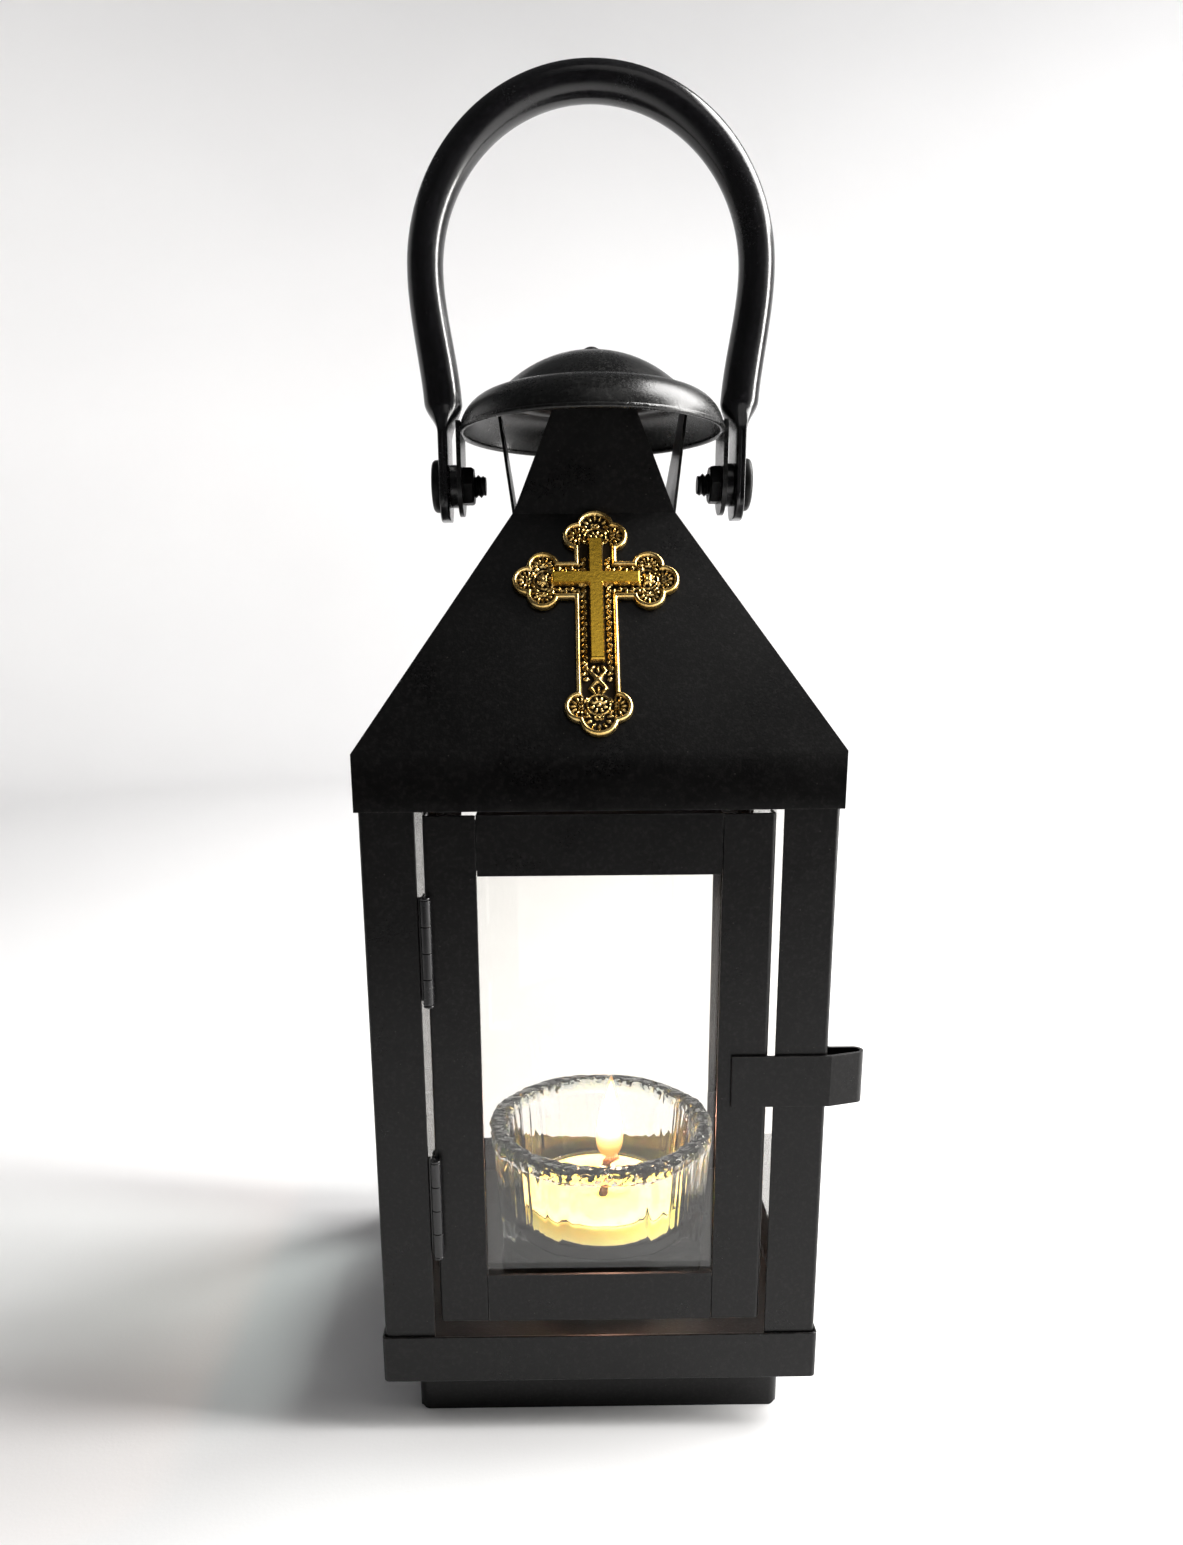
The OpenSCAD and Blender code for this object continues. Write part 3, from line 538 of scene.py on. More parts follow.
def bail_section(h):
    """Outline of the tube that far above the pivot: crushed flat at the pivot, round above it."""
    roundness = smoothstep((h - FLAT_TOP) / CRUSH_H)
    below = min(1.0, max(0.0, (FLAT_CORNER - FLAT_FOOT - h) / FLAT_CORNER))
    flat_half = FLAT_W / 2 - FLAT_CORNER * (1 - math.sqrt(1 - below * below))
    swell = 1 + SWELL * (1 - smoothstep((h - SWELL_TOP) / SWELL_FADE))
    a = lerp(FLAT_T, BAIL_D * swell, roundness) / 2
    b = lerp(flat_half, BAIL_D / 2, roundness)
    power = lerp(FLAT_POWER, 1, roundness)
    points = []
    for i in range(BAIL_SIDES):
        c, d = math.cos(TAU * i / BAIL_SIDES), math.sin(TAU * i / BAIL_SIDES)
        notch = NOTCH * (1 - roundness) * max(0.0, 1 - abs(c) / NOTCH_SPREAD)
        y = b * math.copysign(abs(d) ** power, d) - math.copysign(notch, d)
        points.append((a * math.copysign(abs(c) ** power, c), y))
    return points


def leg_heights(arch_rise):
    """Heights of a leg's sections over the pivot, closest where the shape changes most."""
    heights = [-FLAT_FOOT + FLAT_CORNER * (1 - math.cos(math.radians(9 * i))) for i in range(11)]
    heights += [lerp(-FLAT_FOOT + FLAT_CORNER, FLAT_TOP, i / 6) for i in range(1, 7)]
    heights += [FLAT_TOP + CRUSH_H * i / 12 for i in range(1, 13)]
    heights += [lerp(FLAT_TOP + CRUSH_H, arch_rise, i / 16) for i in range(1, 16)]
    return heights


def bail_handle(material):
    """Bent tube, crushed flat where the pivot screws pass; the flats' edges show its two walls."""
    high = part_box("bail_handle")[1]
    arch_r = high.x - BAIL_D / 2
    arch_rise = high.z - PIVOT_Z - arch_r - BAIL_D / 2
    leg_top = arch_rise - SWAY_H

    def leg(h, side):
        mid = LEG_X + (arch_r - LEG_X) * smoothstep((h - leg_top) / SWAY_H)
        return [(side * (mid + x), y, PIVOT_Z + h) for x, y in bail_section(h)]

    def bend(turn):
        return [
            ((arch_r + x) * math.cos(turn), y, PIVOT_Z + arch_rise + (arch_r + x) * math.sin(turn))
            for x, y in bail_section(arch_rise)
        ]

    heights = leg_heights(arch_rise)
    rings = [leg(h, 1) for h in heights]
    rings += [bend(math.radians(2.5 * i)) for i in range(73)]
    rings += [leg(h, -1) for h in reversed(heights)]
    bm = bmesh.new()
    loft(bm, rings)
    bore = bmesh.new()
    across = Matrix.Translation((0, 0, PIVOT_Z)) @ Matrix.Rotation(math.pi / 2, 4, "Y")
    bore_r, reach = SCREW_R + BORE_GAP, 50 * MM
    lathe(bore, [(0, -reach), (bore_r, -reach), (bore_r, reach), (0, reach)], across, 40)
    build("bail_tube", carved(bm, bore), material, "bail", ("bail_handle",), 50)


def along_x(side, x):
    """Place on the pivot's axis, x from the middle on that side, with local +Z pointing outwards."""
    turn = Matrix.Rotation(side * math.pi / 2, 4, "Y")
    return Matrix.Translation((side * x, 0, PIVOT_Z)) @ turn


def threaded_shank(length, place):
    """Shank that long from place, with a rolled thread that runs in over its first turn."""
    sides, steps_a_turn = 32, 8
    count = int(length / PITCH * steps_a_turn)
    rings = []
    for i in range(count + 1):
        h = length * i / count
        lead = min(1.0, h / PITCH)
        ring = []
        for j in range(sides):
            phase = (h / PITCH - j / sides) % 1.0
            r = SCREW_R - THREAD_H * (1 - lead * (1 - abs(2 * phase - 1)))
            ring.append(place @ polar(r, TAU * j / sides, h))
        rings.append(ring)
    bm = bmesh.new()
    loft(bm, rings)
    return bm


def recessed_head(r, place):
    """Flat round-edged head on place, with a cross recess."""
    profile = [(0, -0.2 * MM), (r - 0.5 * MM, -0.2 * MM), (r - 0.1 * MM, 0), (r, 0.25 * MM)]
    profile += [*arc(r - HEAD_EDGE, HEAD_H - HEAD_EDGE, HEAD_EDGE, 0, 90, 8), (0, HEAD_H)]
    head = bmesh.new()
    lathe(head, profile, place, 64)
    for quarter_turn in (0, 1):
        slot = bmesh.new()
        blade = Matrix.Rotation(quarter_turn * math.pi / 2, 4, "Z")
        size = Matrix.Diagonal((*RECESS, 1))
        seat = place @ Matrix.Translation((0, 0, HEAD_H))
        bmesh.ops.create_cube(slot, size=1, matrix=seat @ blade @ size)
        head = carved(head, slot)
    return head


def pivot_screw(side, node, material):
    """Screw that goes in from outside, its head against the bail."""
    low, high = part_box(node)
    inner, outer = sorted((abs(low.x), abs(high.x)))
    head_from = outer - HEAD_H
    bm = threaded_shank(head_from - inner, along_x(side, inner))
    head = recessed_head((high.z - low.z) / 2, along_x(side, head_from))
    mesh = bpy.data.meshes.new("head")
    head.to_mesh(mesh)
    head.free()
    bm.from_mesh(mesh)
    bpy.data.meshes.remove(mesh)
    build(node.replace("bail_screw", "screw"), bm, material, "lantern", (node,), 40)


def pivot_nut(side, node, material):
    """Hexagon nut with chamfered corners."""
    low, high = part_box(node)
    inner, outer = sorted((abs(low.x), abs(high.x)))
    corner = (high.z - low.z) / 2
    thick = outer - inner
    sides, half_face = 48, math.pi / 6
    chamfer = ((SCREW_R, 0), (corner * 0.84, 0), (corner * 0.97, 0.35 * MM), (corner, 0.7 * MM))
    bm = bmesh.new()
    rows = []
    for r, h in (*chamfer, (corner, thick), (SCREW_R, thick)):
        row = []
        for j in range(sides):
            turn = TAU * j / sides
            flat = math.cos(half_face) / math.cos((turn + half_face) % (2 * half_face) - half_face)
            row.append(bm.verts.new(along_x(side, inner) @ polar(min(r, corner * flat), turn, h)))
        rows.append(row)
    skin(bm, [*rows, rows[0]])
    build(node.replace("bail_nut", "nut"), bm, material, "lantern", (node,), 25)


# ---- Cross ----

# Metres down to CROSS_GAP, then millimetres, as the cross is drawn: u to the right, v up from its foot.
ROOF_RISE = 47.3 * MM
ROOF_RUN = 30.85 * MM
SKIRT_H = 11.4 * MM
CROSS_FOOT = 3.2 * MM
CROSS_GAP = 0.05 * MM
CROSS_H = 53.0
CROSS_W = 34.4
LOBE_R = 3.4
TIP_R = 4.0
LOBE_BACK = 6.35
ARM_HALF = 4.4
ARM_V = CROSS_H - CROSS_W / 2
RIM = 1.05
FACE_HALF = 1.5
FACE_FOOT = 16.4
FACE_HEAD = ARM_V + 10
FACE_ARM = 9.2
RECESS_H = 0.7
LEAVES_V = 12.4
GRID = 0.2


def box_field(u, v, cu, cv, hu, hv):
    """Signed distance to a rectangle, below 0 inside."""
    du, dv = np.abs(u - cu) - hu, np.abs(v - cv) - hv
    return np.hypot(np.maximum(du, 0), np.maximum(dv, 0)) + np.minimum(np.maximum(du, dv), 0)


def disc_field(u, v, cu, cv, r):
    return np.hypot(u - cu, v - cv) - r


def bump_field(u, v, cu, cv, long, wide, turn=0.0):
    """Height from 0 to 1 of an oval button centred at (cu, cv), long along turn radians."""
    a = (u - cu) * math.cos(turn) + (v - cv) * math.sin(turn)
    b = (v - cv) * math.cos(turn) - (u - cu) * math.sin(turn)
    return np.sqrt(np.clip(1 - (a / long) ** 2 - (b / wide) ** 2, 0, 1))


def ring_field(u, v, cu, cv, r, wide):
    """Height from 0 to 1 of a thin round ring."""
    return np.sqrt(np.clip(1 - ((np.hypot(u - cu, v - cv) - r) / wide) ** 2, 0, 1))


def cross_ends():
    """Tip, outward direction and tip lobe radius of the four arms."""
    up, across = TIP_R, LOBE_R
    return [
        ((0, CROSS_H), (0, 1), up), ((0, 0), (0, -1), up),
        ((CROSS_W / 2, ARM_V), (1, 0), across), ((-CROSS_W / 2, ARM_V), (-1, 0), across),
    ]


def cross_lobes():
    """Centre, outward direction and radius of the twelve lobes, three at each end."""
    lobes = []
    for (eu, ev), (du, dv), tip in cross_ends():
        lobes.append(((eu - du * tip, ev - dv * tip), (du, dv), tip))
        for s in (-1, 1):
            centre = (eu - du * LOBE_BACK + s * dv * LOBE_R, ev - dv * LOBE_BACK - s * du * LOBE_R)
            lobes.append((centre, (s * dv, -s * du), LOBE_R))
    return lobes


def cross_field(u, v):
    """Signed distance to the cross's outline in millimetres."""
    field = box_field(u, v, 0, CROSS_H / 2, ARM_HALF, CROSS_H / 2 - LOBE_BACK)
    field = np.minimum(field, box_field(u, v, 0, ARM_V, CROSS_W / 2 - LOBE_BACK, ARM_HALF))
    for (cu, cv), _, r in cross_lobes():
        field = np.minimum(field, disc_field(u, v, cu, cv, r))
    for (eu, ev), (du, dv), tip in cross_ends():
        back = (tip + LOBE_BACK) / 2
        along, wide = (LOBE_BACK - tip) / 2, LOBE_R
        half = (along, wide) if du else (wide, along)
        field = np.minimum(field, box_field(u, v, eu - du * back, ev - dv * back, *half))
    return field


def petals(u, v, lay):
    """Nine petals and two scrolls in each lobe."""
    for (cu, cv), (du, dv), r in cross_lobes():
        facing = math.atan2(dv, du)
        reach = r - RIM - 0.72
        for i in range(-4, 5):
            turn = facing + i * math.radians(31)
            at_u, at_v = cu + reach * math.cos(turn), cv + reach * math.sin(turn)
            lay(bump_field(u, v, at_u, at_v, 0.68, 0.27, turn), 0.95)
        for s in (-1, 1):
            turn = facing + s * 1.3
            lay(ring_field(u, v, cu + 0.42 * math.cos(turn), cv + 0.42 * math.sin(turn), 0.36, 0.17), 0.8)


def rosettes(u, v, lay):
    """A button with eight petals and a ring round it where each arm's lobes meet."""
    for (eu, ev), (du, dv), _ in cross_ends():
        cu, cv = eu - du * (LOBE_BACK + 0.4), ev - dv * (LOBE_BACK + 0.4)
        lay(bump_field(u, v, cu, cv, 0.55, 0.55))
        for i in range(8):
            turn = TAU * (i + 0.5) / 8
            at_u, at_v = cu + 1.3 * math.cos(turn), cv + 1.3 * math.sin(turn)
            lay(bump_field(u, v, at_u, at_v, 0.58, 0.30, turn), 0.85)
        lay(ring_field(u, v, cu, cv, 2.25, 0.2), 0.6)


def vines(u, v, lay):
    """A waving stem with a leaf at each wave, on both sides of the plain cross's bars."""
    channel = (FACE_HALF + ARM_HALF - RIM) / 2 + 0.1
    pitch = 1.3
    bars = (
        (v, u, LEAVES_V + 1.2, CROSS_H - 12.0),
        (u, v - ARM_V, 3.6, 9.6),
        (-u, v - ARM_V, 3.6, 9.6),
    )
    for s in (-1, 1):
        for along, across, first, last in bars:
            inside = (along > first) & (along < last)
            stem = s * channel + 0.34 * np.sin(along * TAU / (2 * pitch))
            lay(np.sqrt(np.clip(1 - ((across - stem) / 0.2) ** 2, 0, 1)) * inside, 0.75)
            for i in range(int((last - first) / pitch) + 1):
                side = (-1) ** i
                leaf_at = s * channel - 0.3 * side, first + i * pitch
                lay(bump_field(across, along, *leaf_at, 0.44, 0.34, 0.6 * side), 0.95)


def crossed_leaves(u, v, lay):
    """Crossed leaves with a stud and small leaves round them, under the plain cross."""
    for s in (-1, 1):
        lay(bump_field(u, v, 0, LEAVES_V, 3.1, 0.42, s * 0.87), 0.95)
        lay(bump_field(u, v, s * 2.35, LEAVES_V, 0.62, 0.42), 0.9)
        lay(bump_field(u, v, s * 1.15, 14.9, 0.9, 0.34, s * 2.2), 0.85)
        lay(bump_field(u, v, s * 1.15, 9.9, 0.9, 0.34, s * 0.95), 0.85)
    lay(np.clip(1.4 * (1 - (np.abs(u) + np.abs(v - LEAVES_V)) / 0.95), 0, 1))
    lay(bump_field(u, v, 0, 14.7, 0.9, 0.3, math.pi / 2), 0.9)
    lay(bump_field(u, v, 0, 10.2, 0.9, 0.3, math.pi / 2), 0.9)


def ornament(u, v):
    """Height from 0 to 1 of the filigree in the recess."""
    high = np.zeros_like(u)

    def lay(field, scale=1.0):
        np.maximum(high, field * scale, out=high)

    for motif in (petals, rosettes, vines, crossed_leaves):
        motif(u, v, lay)
    return high


def cross_height(u, v, inside):
    """Height above the plate's back, how proud that is from 0 to 1, and 1 on the plain cross."""
    half = RIM / 2
    outer_slope = 1.0 + 0.6 * np.sqrt(np.clip(inside / half, 0, 1))
    crest = np.sqrt(np.clip(1 - ((inside - half) / half) ** 2, 0, 1))
    rim = np.where(inside < half, outer_slope, RECESS_H + 0.9 * crest)
    inner = ornament(u, v) * np.clip((inside - RIM * 0.8) / 0.2, 0, 1)
    height = np.maximum(np.where(inside < RIM, rim, RECESS_H), RECESS_H + 0.72 * inner)
    face = np.minimum(
        box_field(u, v, 0, (FACE_FOOT + FACE_HEAD) / 2, FACE_HALF, (FACE_HEAD - FACE_FOOT) / 2),
        box_field(u, v, 0, ARM_V, FACE_ARM, FACE_HALF),
    )
    plain = np.clip(-face / 0.3, 0, 1)
    height = np.where(face < 0, np.maximum(height, 1.25 + 0.85 * plain), height)
    return height, np.clip((height - RECESS_H) / 0.6, 0, 1), plain


def grid_to_outline():
    """Fine grid with the points near the outline moved onto it: u, v, signed distance and which are near."""
    us = np.arange(-CROSS_W / 2 - GRID, CROSS_W / 2 + 2 * GRID, GRID)
    vs = np.arange(-GRID, CROSS_H + 2 * GRID, GRID)
    u, v = np.meshgrid(us, vs, indexing="ij")
    field = cross_field(u, v)
    near = np.abs(field) < GRID * 0.75
    slight = 0.01
    for _ in range(3):
        gu = (cross_field(u + slight, v) - cross_field(u - slight, v)) / (2 * slight)
        gv = (cross_field(u, v + slight) - cross_field(u, v - slight)) / (2 * slight)
        size = np.maximum(np.hypot(gu, gv), 0.3)
        u, v = np.where(near, u - field * gu / size, u), np.where(near, v - field * gv / size, v)
        field = cross_field(u, v)
    return u, v, field, near


def on_roof():
    """Place of the cross's foot on the front slope, in millimetres, its Z axis away from the roof."""
    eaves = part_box("roof_shell")[0]
    slope = math.atan2(ROOF_RISE, ROOF_RUN)
    place = Matrix.Translation((0, eaves.y, eaves.z + SKIRT_H)) @ Matrix.Rotation(slope, 4, "X")
    return place @ Matrix.Translation((0, CROSS_FOOT, CROSS_GAP)) @ Matrix.Scale(MM, 4)


def boundary_loop(bm):
    """Vertices round bm's one open edge, in order."""
    after = {}
    for edge in bm.edges:
        if edge.is_boundary:
            loop = edge.link_loops[0]
            after[loop.vert] = loop.link_loop_next.vert
    outline = [next(iter(after))]
    while after[outline[-1]] != outline[0]:
        outline.append(after[outline[-1]])
    return outline


def cross_relief(material):
    """One casting: raised rim, filigree in the recess and the plain bevelled cross, cut to the outline."""
    u, v, field, near = grid_to_outline()
    kept = (field < 0) | near
    height, proud, plain = cross_height(u, v, np.maximum(-field, 0))
    place = on_roof()
    bm = bmesh.new()
    proud_layer = bm.verts.layers.float.new("proud")
    plain_layer = bm.verts.layers.float.new("plain")
    grid = {}

    def corner(i, j):
        if (i, j) not in grid:
            point = bm.verts.new(place @ Vector((u[i, j], v[i, j], height[i, j])))
            point[proud_layer] = proud[i, j]
            point[plain_layer] = plain[i, j]
            grid[i, j] = point
        return grid[i, j]

    for i in range(u.shape[0] - 1):
        for j in range(u.shape[1] - 1):
            square = ((i, j), (i + 1, j), (i + 1, j + 1), (i, j + 1))
            if all(kept[c] for c in square) and any(not near[c] for c in square):
                bm.faces.new([corner(*c) for c in square])
    outline = boundary_loop(bm)
    foot = place @ Vector((0, 0, 0))
    outward = (place.to_3x3() @ Vector((0, 0, 1))).normalized()
    back = [bm.verts.new(point.co - outward * (point.co - foot).dot(outward)) for point in outline]
    for point in back:
        point[proud_layer] = 0.3
    skin(bm, [outline, back])
    bm.faces.new(back)
    build("cross", bm, material, "lantern", ("cross_plate", "cross_face"))


# ---- Candle ----

CUP_LOW, CUP_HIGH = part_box("cup")
CUP_X = (CUP_LOW.x + CUP_HIGH.x) / 2
FACET_H = 1.2 * MM
LUMP = 0.95 * MM
FLAME_H = 23 * MM
GAS_W = 7.6 * MM
HEART_W = 6.4 * MM
FACETS = 8
# From here in millimetres, as the sections of the cup, the tealight and the wick are.
CUP_H = (CUP_HIGH.z - CUP_LOW.z) / MM
RIM_R = (CUP_HIGH.x - CUP_LOW.x) / 2 / MM - 0.25
FOOT_R = 26.6
FOOT_EDGE = 0.7
RIM_EDGE = 1.4
LIP_EDGE = 1.0
RIM_WALL = 4.5
FOOT_WALL = 4.0
CUP_FLOOR = 11.5
FLOOR_EDGE = 9.0
WICK_R = 1.3


def upright(z):
    """Place on the cup's axis at that height."""
    return Matrix.Translation((CUP_X, 0, z))


def cup_profile():
    """Half section of the cup in millimetres, in four runs: outside, lip, bore, floor."""
    inner_foot = FOOT_R - FOOT_WALL
    outer_top, bore_top, bore_foot = CUP_H - RIM_EDGE, CUP_H - LIP_EDGE, CUP_FLOOR + FLOOR_EDGE
    outside = [(0, 0), *arc(FOOT_R - FOOT_EDGE, FOOT_EDGE, FOOT_EDGE, -90, 0, 6)]
    outside += [(lerp(FOOT_R, RIM_R, i / 18), lerp(FOOT_EDGE, outer_top, i / 18)) for i in range(1, 18)]
    outside += arc(RIM_R - RIM_EDGE, outer_top, RIM_EDGE, 0, 90, 8)
    lip = arc(RIM_R - RIM_WALL + LIP_EDGE, bore_top, LIP_EDGE, 90, 180, 6)
    inner_rim = RIM_R - RIM_WALL
    bore = [(lerp(inner_rim, inner_foot, i / 8), lerp(bore_top, bore_foot, i / 8)) for i in range(1, 8)]
    floor = [*arc(inner_foot - FLOOR_EDGE, bore_foot, FLOOR_EDGE, 0, -90, 16), (0, CUP_FLOOR)]
    return outside, lip, bore, floor


def glass_cup(material):
    """Thick pressed cup: broad soft facets, finely streaked at its sides, with a lumpy fire-polished rim."""
    runs = cup_profile()
    profile = [point for run in runs for point in run]
    outer_to = len(runs[0])
    bore_from = outer_to + len(runs[1])
    bore_to = bore_from + len(runs[2])

    def moulded(angle, i, r):
        h = profile[i][1]
        near_rim = smoothstep((h - CUP_H + 5) / 4)
        off_foot = smoothstep((h - 0.3) / 1.5)
        way = Vector((math.cos(angle), math.sin(angle), 0))
        lumps = LUMP * near_rim * noise.noise(way * 14 + Vector((0, 0, 0.5 * i)))
        at_sides = smoothstep((abs(math.cos(angle + math.pi / FACETS)) - 0.45) / 0.35)
        if i < outer_to:
            across = (angle * FACETS / TAU) % 1.0 * 2 - 1
            streaks = abs(noise.noise(way * 15)) * (0.08 + 1.1 * at_sides) * MM * off_foot
            facet = FACET_H * off_foot * (1 - 0.6 * near_rim)
            return r - facet * (1 - across * across) + min(lumps, 0.25 * MM) - streaks
        if bore_from <= i < bore_to:
            ripple = noise.noise(way * 13 + Vector((5, 0, 0.06 * h)))
            return r + (0.2 + 0.35 * at_sides) * MM * ripple + lumps
        return r + lumps if i < bore_from else r

    bm = bmesh.new()
    place = upright(CUP_LOW.z) @ Matrix.Rotation(math.pi / FACETS, 4, "Z")
    lathe(bm, [(r * MM, h * MM) for r, h in profile], place, 336, moulded)
    build("glass_cup", bm, material, "cup", ("cup",))


def candle_shell(material):
    """Clear moulded can with a rounded lower edge and a slightly turned-out lip."""
    low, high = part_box("tealight_shell")
    r, height = (high.x - low.x) / 2 / MM, (high.z - low.z) / MM
    edge, wall, lip_h, flare = 2.4, 0.4, 1.2, 0.05
    profile = [(0, 0.25), (r - 4, 0.25), *arc(r - edge - flare, edge, edge, -90, 0, 8)]
    profile += [(r - flare, height - lip_h), (r, height - lip_h / 2)]
    profile += arc(r - wall / 2, height - wall / 2, wall / 2, 0, 180, 6)
    profile += [(r - wall, height - lip_h), *arc(r - edge, edge, edge - wall, 0, -90, 8), (0, wall)]
    bm = bmesh.new()
    lathe(bm, [(x * MM, h * MM) for x, h in profile], upright(low.z))
    build("tealight_can", bm, material, "tealight", ("tealight_shell",), 50)


def candle_wax(material):
    """Wax with a shallow melted pool round the wick."""
    low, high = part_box("tealight_wax")
    r, height = (high.x - low.x) / 2 / MM, (high.z - low.z) / MM
    edge, pool_r, sunk, steps = 1.95, 14.5, 1.1, 14
    shoulder = r - 1.4
    profile = [(0, 0), *arc(r - edge, edge, edge, -90, 0, 8)]
    profile += [(r, height - 0.5), (r - 0.15, height - 0.15), (r - 0.5, height)]
    for i in range(steps + 1):
        t = i / steps
        x = lerp(shoulder, 0, t)
        profile.append((x, height - sunk * smoothstep((shoulder - x) / (r - pool_r + 2)) * (1 - 0.15 * t)))
    profile[-1] = (0, profile[-2][1] + 0.25)

    def uneven(angle, i, q):
        return q * (1 + 0.004 * math.sin(3 * angle + 0.7 * i))

    bm = bmesh.new()
    lathe(bm, [(x * MM, h * MM) for x, h in profile], upright(low.z), shape=uneven)
    build("candle_wax", bm, material, "tealight", ("tealight_wax",))


def candle_wick(material):
    """Braided wick that leans right and curls over at its burnt end."""
    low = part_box("wick")[0]
    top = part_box("tealight_wax")[1].z
    lean = ((0.6, 0, 2.5), (1.2, -0.1, 6), (2.3, -0.2, 8.5), (3.3, -0.2, 8.9), (3.8, -0.2, 8.1))
    route = [Vector((CUP_X, 0, low.z)), Vector((CUP_X, 0, top - 2 * MM))]
    route += [Vector((CUP_X + x * MM, y * MM, top + z * MM)) for x, y, z in lean]
    points = smooth_path(route, 10)
    rings, sides = [], 20
    for i, p in enumerate(points):
        ahead = (points[min(i + 1, len(points) - 1)] - points[max(i - 1, 0)]).normalized()
        turn = Vector((0, 0, 1)).rotation_difference(ahead)
        burnt = smoothstep((p.z - top) / (7 * MM))
        ring = []
        for j in range(sides):
            a = TAU * j / sides
            fibre = 0.08 * noise.noise(p * 900 + Vector((a, 0, 0)))
            braid = 0.11 * math.sin(3 * a + i * 1.1) + 0.07 * math.sin(3 * a - i * 1.1) + fibre
            r = (WICK_R - 0.2 * burnt) * (1 + braid) * MM
            ring.append(p + turn @ polar(r, a, 0))
        rings.append(ring)
    bm = bmesh.new()
    loft(bm, rings)
    build("burnt_wick", bm, material, "tealight", ("wick",))


def smooth_path(points, steps):
    """Catmull-Rom curve through the points."""
    path = []
    ends = [points[0] * 2 - points[1], *points, points[-1] * 2 - points[-2]]
    for a, b, c, d in zip(ends, ends[1:], ends[2:], ends[3:]):
        square, cube = 2 * a - 5 * b + 4 * c - d, 3 * b - a - 3 * c + d
        for i in range(steps):
            t = i / steps
            path.append(0.5 * (2 * b + (c - a) * t + square * t * t + cube * t ** 3))
    return path + [points[-1]]


def flame_shape(name, material, foot, height, width, lean):
    """Teardrop of burning gas over the wick, leaning slightly. It casts no shadow from the candle's lamp."""
    bm = bmesh.new()
    rings = []
    steps, sides, tip_r = 28, 32, 0.02 * MM
    for i in range(steps + 1):
        t = i / steps
        full = width / 2 * math.sin(math.pi * t ** 0.56) ** 0.8 * (1 - 0.25 * t)
        r = full if 0 < i < steps else tip_r
        mid = foot + Vector((lean * t * t, 0, height * t))
        rings.append([mid + polar(r, TAU * j / sides, 0) for j in range(sides)])
    loft(bm, rings)
    shape = build(name, bm, material, "tealight", (), 180)
    shape.visible_shadow = False
    return shape


def flame():
    """Outer gas, its bright heart, and the lamp that lights the lantern from inside."""
    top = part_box("tealight_wax")[1].z
    foot = Vector((CUP_X + 2.2 * MM, -0.1 * MM, top + 8.9 * MM))
    gas = (
        (0.0, (0.20, 0.08, 0.02)), (0.14, (0.24, 0.12, 0.03)),
        (0.4, (1.0, 0.62, 0.26)), (1.0, (1.0, 0.45, 0.14)),
    )
    heart = (
        (0.0, (0.09, 0.026, 0.002)), (0.13, (0.10, 0.048, 0.005)), (0.24, (0.16, 0.10, 0.025)),
        (0.34, (0.6, 0.45, 0.2)), (0.45, (1.0, 0.82, 0.5)), (1.0, (1.0, 0.74, 0.38)),
    )
    outer = burning("flame_gas", foot.z, foot.z + FLAME_H, 0.55, 6.0, gas)
    inner = burning("flame_heart", foot.z, foot.z + FLAME_H, 0.95, 14.0, heart)
    shape = flame_shape("flame_outer", outer, foot, FLAME_H, GAS_W, 0.5 * MM)
    heart_foot = foot + Vector((0, 0, 0.2 * MM))
    flame_shape("flame_inner", inner, heart_foot, FLAME_H * 0.9, HEART_W, 0.4 * MM)
    glow = bpy.data.lights.new("candle_light", "POINT")
    glow.energy = 0.16
    glow.color = (1.0, 0.5, 0.36)
    glow.shadow_soft_size = 3 * MM
    lamp = bpy.data.objects.new("candle_light", glow)
    bpy.context.scene.collection.objects.link(lamp)
    lamp.location = foot + Vector((0, 0, 9 * MM))
    bpy.context.view_layer.update()
    lamp.parent = shape
    lamp.matrix_parent_inverse = shape.matrix_world.inverted()


# ---- Camera, floor and light ----

EYE = (-7.5 * MM, -249.5 * MM, 173.7 * MM)
YAW = math.radians(0.48)
PITCH_DOWN = math.radians(13)
ROLL = math.radians(-0.41)


def camera():
    """Set at the photograph's viewing angle, a little above the lantern's middle."""
    data = bpy.data.cameras.new("camera")
    data.sensor_width = 36
    data.lens = 24.27
    data.shift_x = 0.0136
    data.shift_y = 0.0692
    data.clip_start = 0.01
    eye = bpy.data.objects.new("camera", data)
    bpy.context.scene.collection.objects.link(eye)
    ahead = math.cos(PITCH_DOWN)
    forward = Vector((math.sin(YAW) * ahead, math.cos(YAW) * ahead, -math.sin(PITCH_DOWN)))
    level = Vector((math.cos(YAW), -math.sin(YAW), 0))
    above = level.cross(forward)
    right = level * math.cos(ROLL) + above * math.sin(ROLL)
    up = above * math.cos(ROLL) - level * math.sin(ROLL)
    turn = Matrix((right, up, -forward)).transposed().to_4x4()
    eye.matrix_world = Matrix.Translation(EYE) @ turn
    bpy.context.scene.camera = eye


def bowl():
    """Floor that curves up all round into a pale wall, open at the top."""
    wall_r, curve_r, wall_h = 1.6, 0.5, 1.3
    bm = bmesh.new()
    curve = arc(wall_r - curve_r, curve_r, curve_r, -90, 0, 16)
    profile = [(0, 0), (0.25, 0), (0.6, 0), *curve, (wall_r, wall_h)]
    lathe(bm, profile, Matrix.Translation((0, 0, -0.02 * MM)))
    floor = smooth_object("floor", bm, studio_floor())


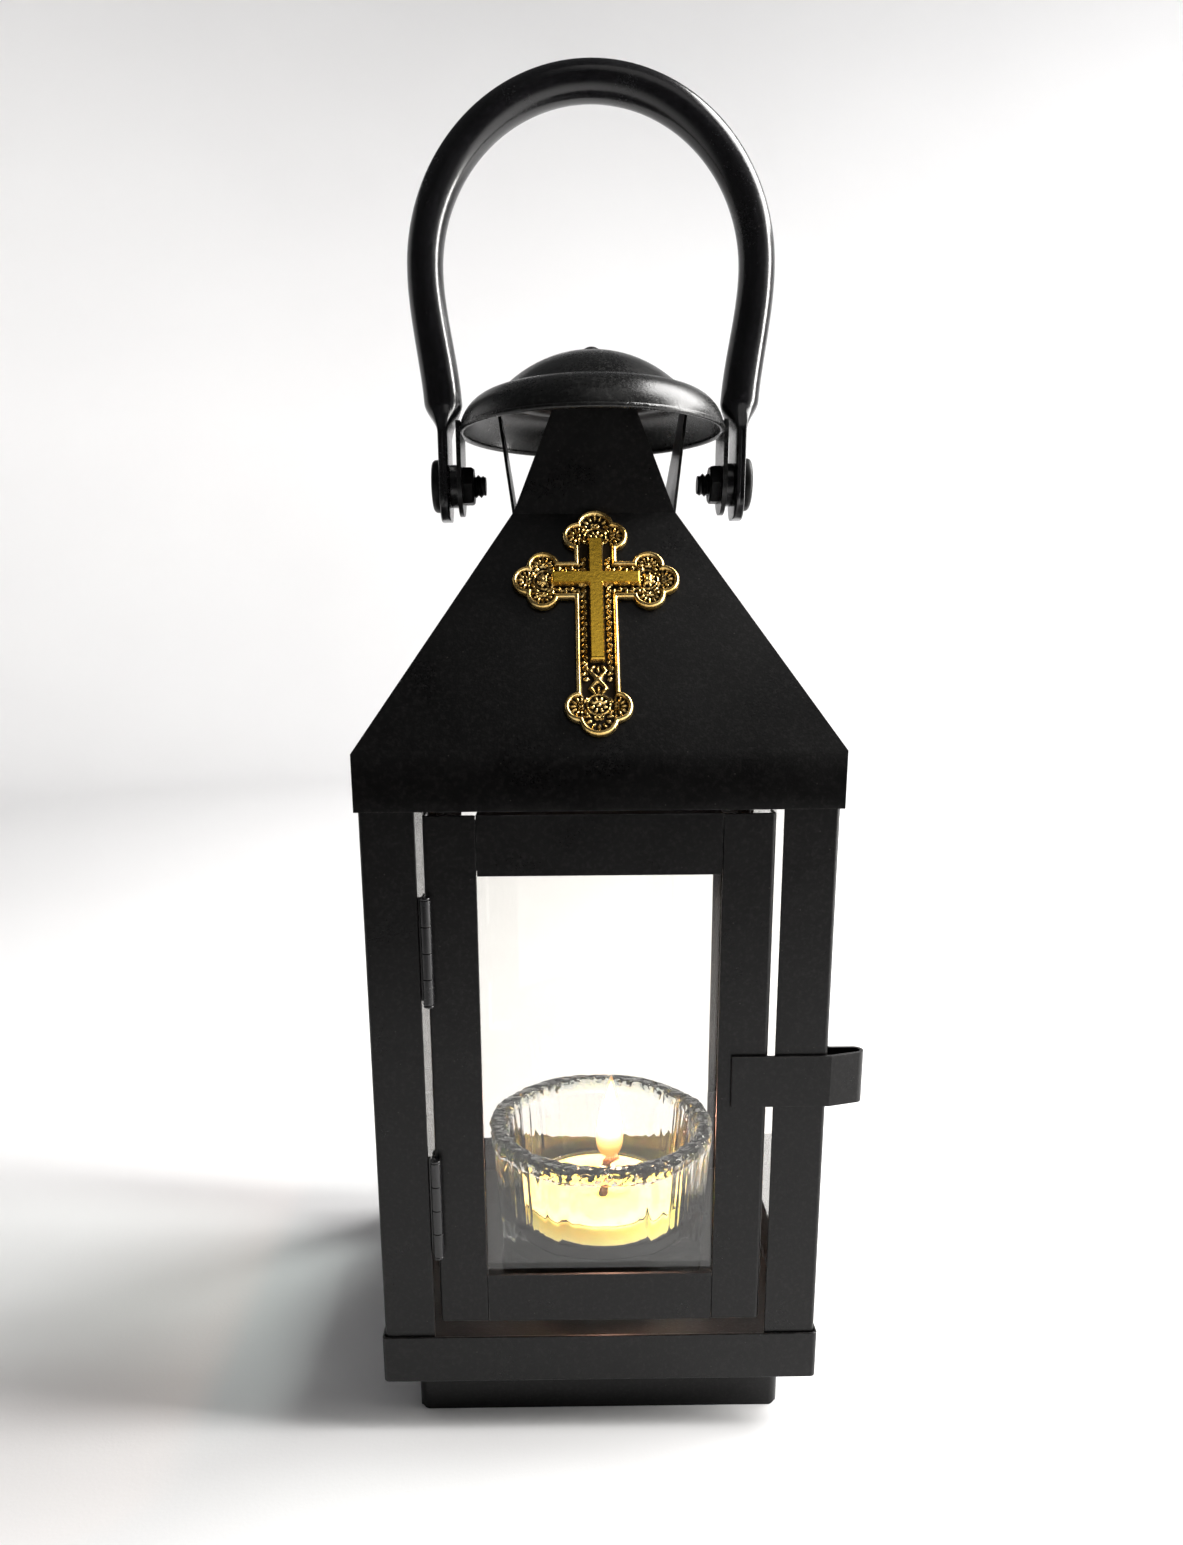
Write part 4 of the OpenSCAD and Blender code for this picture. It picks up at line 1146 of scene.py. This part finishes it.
def softbox(name, place, aim, width, height, power, colour):
    """Rectangular lamp at place that faces aim."""
    data = bpy.data.lights.new(name, "AREA")
    data.shape = "RECTANGLE"
    data.size = width
    data.size_y = height
    data.energy = power
    data.color = colour
    lamp = bpy.data.objects.new(name, data)
    bpy.context.scene.collection.objects.link(lamp)
    lamp.location = place
    lamp.rotation_mode = "QUATERNION"
    lamp.rotation_quaternion = (Vector(place) - Vector(aim)).to_track_quat("Z", "Y")


def studio_light():
    """Soft lamps over the right side, on the back wall and in front, in a dim room."""
    middle = (cad_low + cad_high) / 2
    back_wall = (0.5, 1.5, 0.35)
    white, warm_white, noon = (1.0, 1.0, 1.0), (1.0, 0.985, 0.96), (1.0, 0.99, 0.975)
    softbox("top", (0.66, 0.12, 0.88), (0.05, -0.05, 0), 0.6, 0.6, 19, noon)
    softbox("wall", (0.7, 0.55, 0.75), back_wall, 0.9, 0.5, 7.5, white)
    softbox("front", (0.22, -0.62, 1.1), middle, 0.5, 0.5, 0.5, warm_white)
    softbox("side", (0.95, -0.12, 0.32), middle, 0.2, 0.8, 20, warm_white)
    world = bpy.data.worlds.new("studio")
    world.use_nodes = True
    background = world.node_tree.nodes["Background"]
    background.inputs["Color"].default_value = (0.95, 0.97, 1.0, 1)
    background.inputs["Strength"].default_value = 0.09
    bpy.context.scene.world = world
    bpy.context.scene.view_settings.view_transform = "Standard"


# ---- Scene ----

satin = paint("satin_black", (0.0011, 0.0010, 0.0010), 0.33, 0.03 * MM, 0.5, 0.25)
cap_paint = paint("cap_black", (0.0036, 0.0036, 0.0035), 0.29, 0.025 * MM, 0.4, 0.42)
fitting = paint("fitting_black", (0.0022, 0.0022, 0.0022), 0.42, 0.012 * MM, 0.5, 0.2)
gloss = paint("gloss_black", (0.0036, 0.0035, 0.0040), 0.21, 0.008 * MM, 0.35, 0.5)
pane = float_glass()

FOLDED_SHEET = [
    "foot_pan", "base_tray", "post_front_left", "post_front_right", "post_rear_left", "post_rear_right",
    "door_stile_left", "door_stile_right", "door_rail_top", "door_rail_bottom",
]
SMALL_FITTINGS = [
    "glass_clips_left", "glass_clips_right", "glass_clips_rear", "door_glass_clips",
    "hinge_upper_post_leaf", "hinge_upper_door_leaf", "hinge_upper_pin",
    "hinge_lower_post_leaf", "hinge_lower_door_leaf", "hinge_lower_pin",
    "bail_spacer_left", "bail_spacer_right",
]
PANES = ["glass_left", "glass_right", "glass_rear", "door_glass"]
edge_rounding("roof_shell", 0.4 * MM, satin)
for node in FOLDED_SHEET:
    edge_rounding(node, 0.22 * MM, satin)
for node in ("cap", "cap_rivet"):
    edge_rounding(node, 0.15 * MM, cap_paint)
edge_rounding("clasp_strip", 0.18 * MM, satin)
for node in SMALL_FITTINGS:
    edge_rounding(node, 0.1 * MM, gloss)
for node in PANES:
    edge_rounding(node, 0.25 * MM, pane)
edge_rounding("wick_holder", 0.05 * MM, tin_plate())

bail_handle(gloss)
for side, end in ((-1, "left"), (1, "right")):
    pivot_screw(side, "bail_screw_" + end, fitting)
    pivot_nut(side, "bail_nut_" + end, fitting)
cross_relief(antique_gold())
glass_cup(pressed_glass(CUP_HIGH.z))
candle_shell(clear_plastic())
wax_low, wax_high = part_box("tealight_wax")
candle_wax(wax_with_painted_glow(wax_high.z, wax_low.z, CUP_X))
WICK_TIP = wax_high.z + 9.5 * MM
candle_wick(charred_cotton(WICK_TIP))
flame()

camera()
bowl()
studio_light()
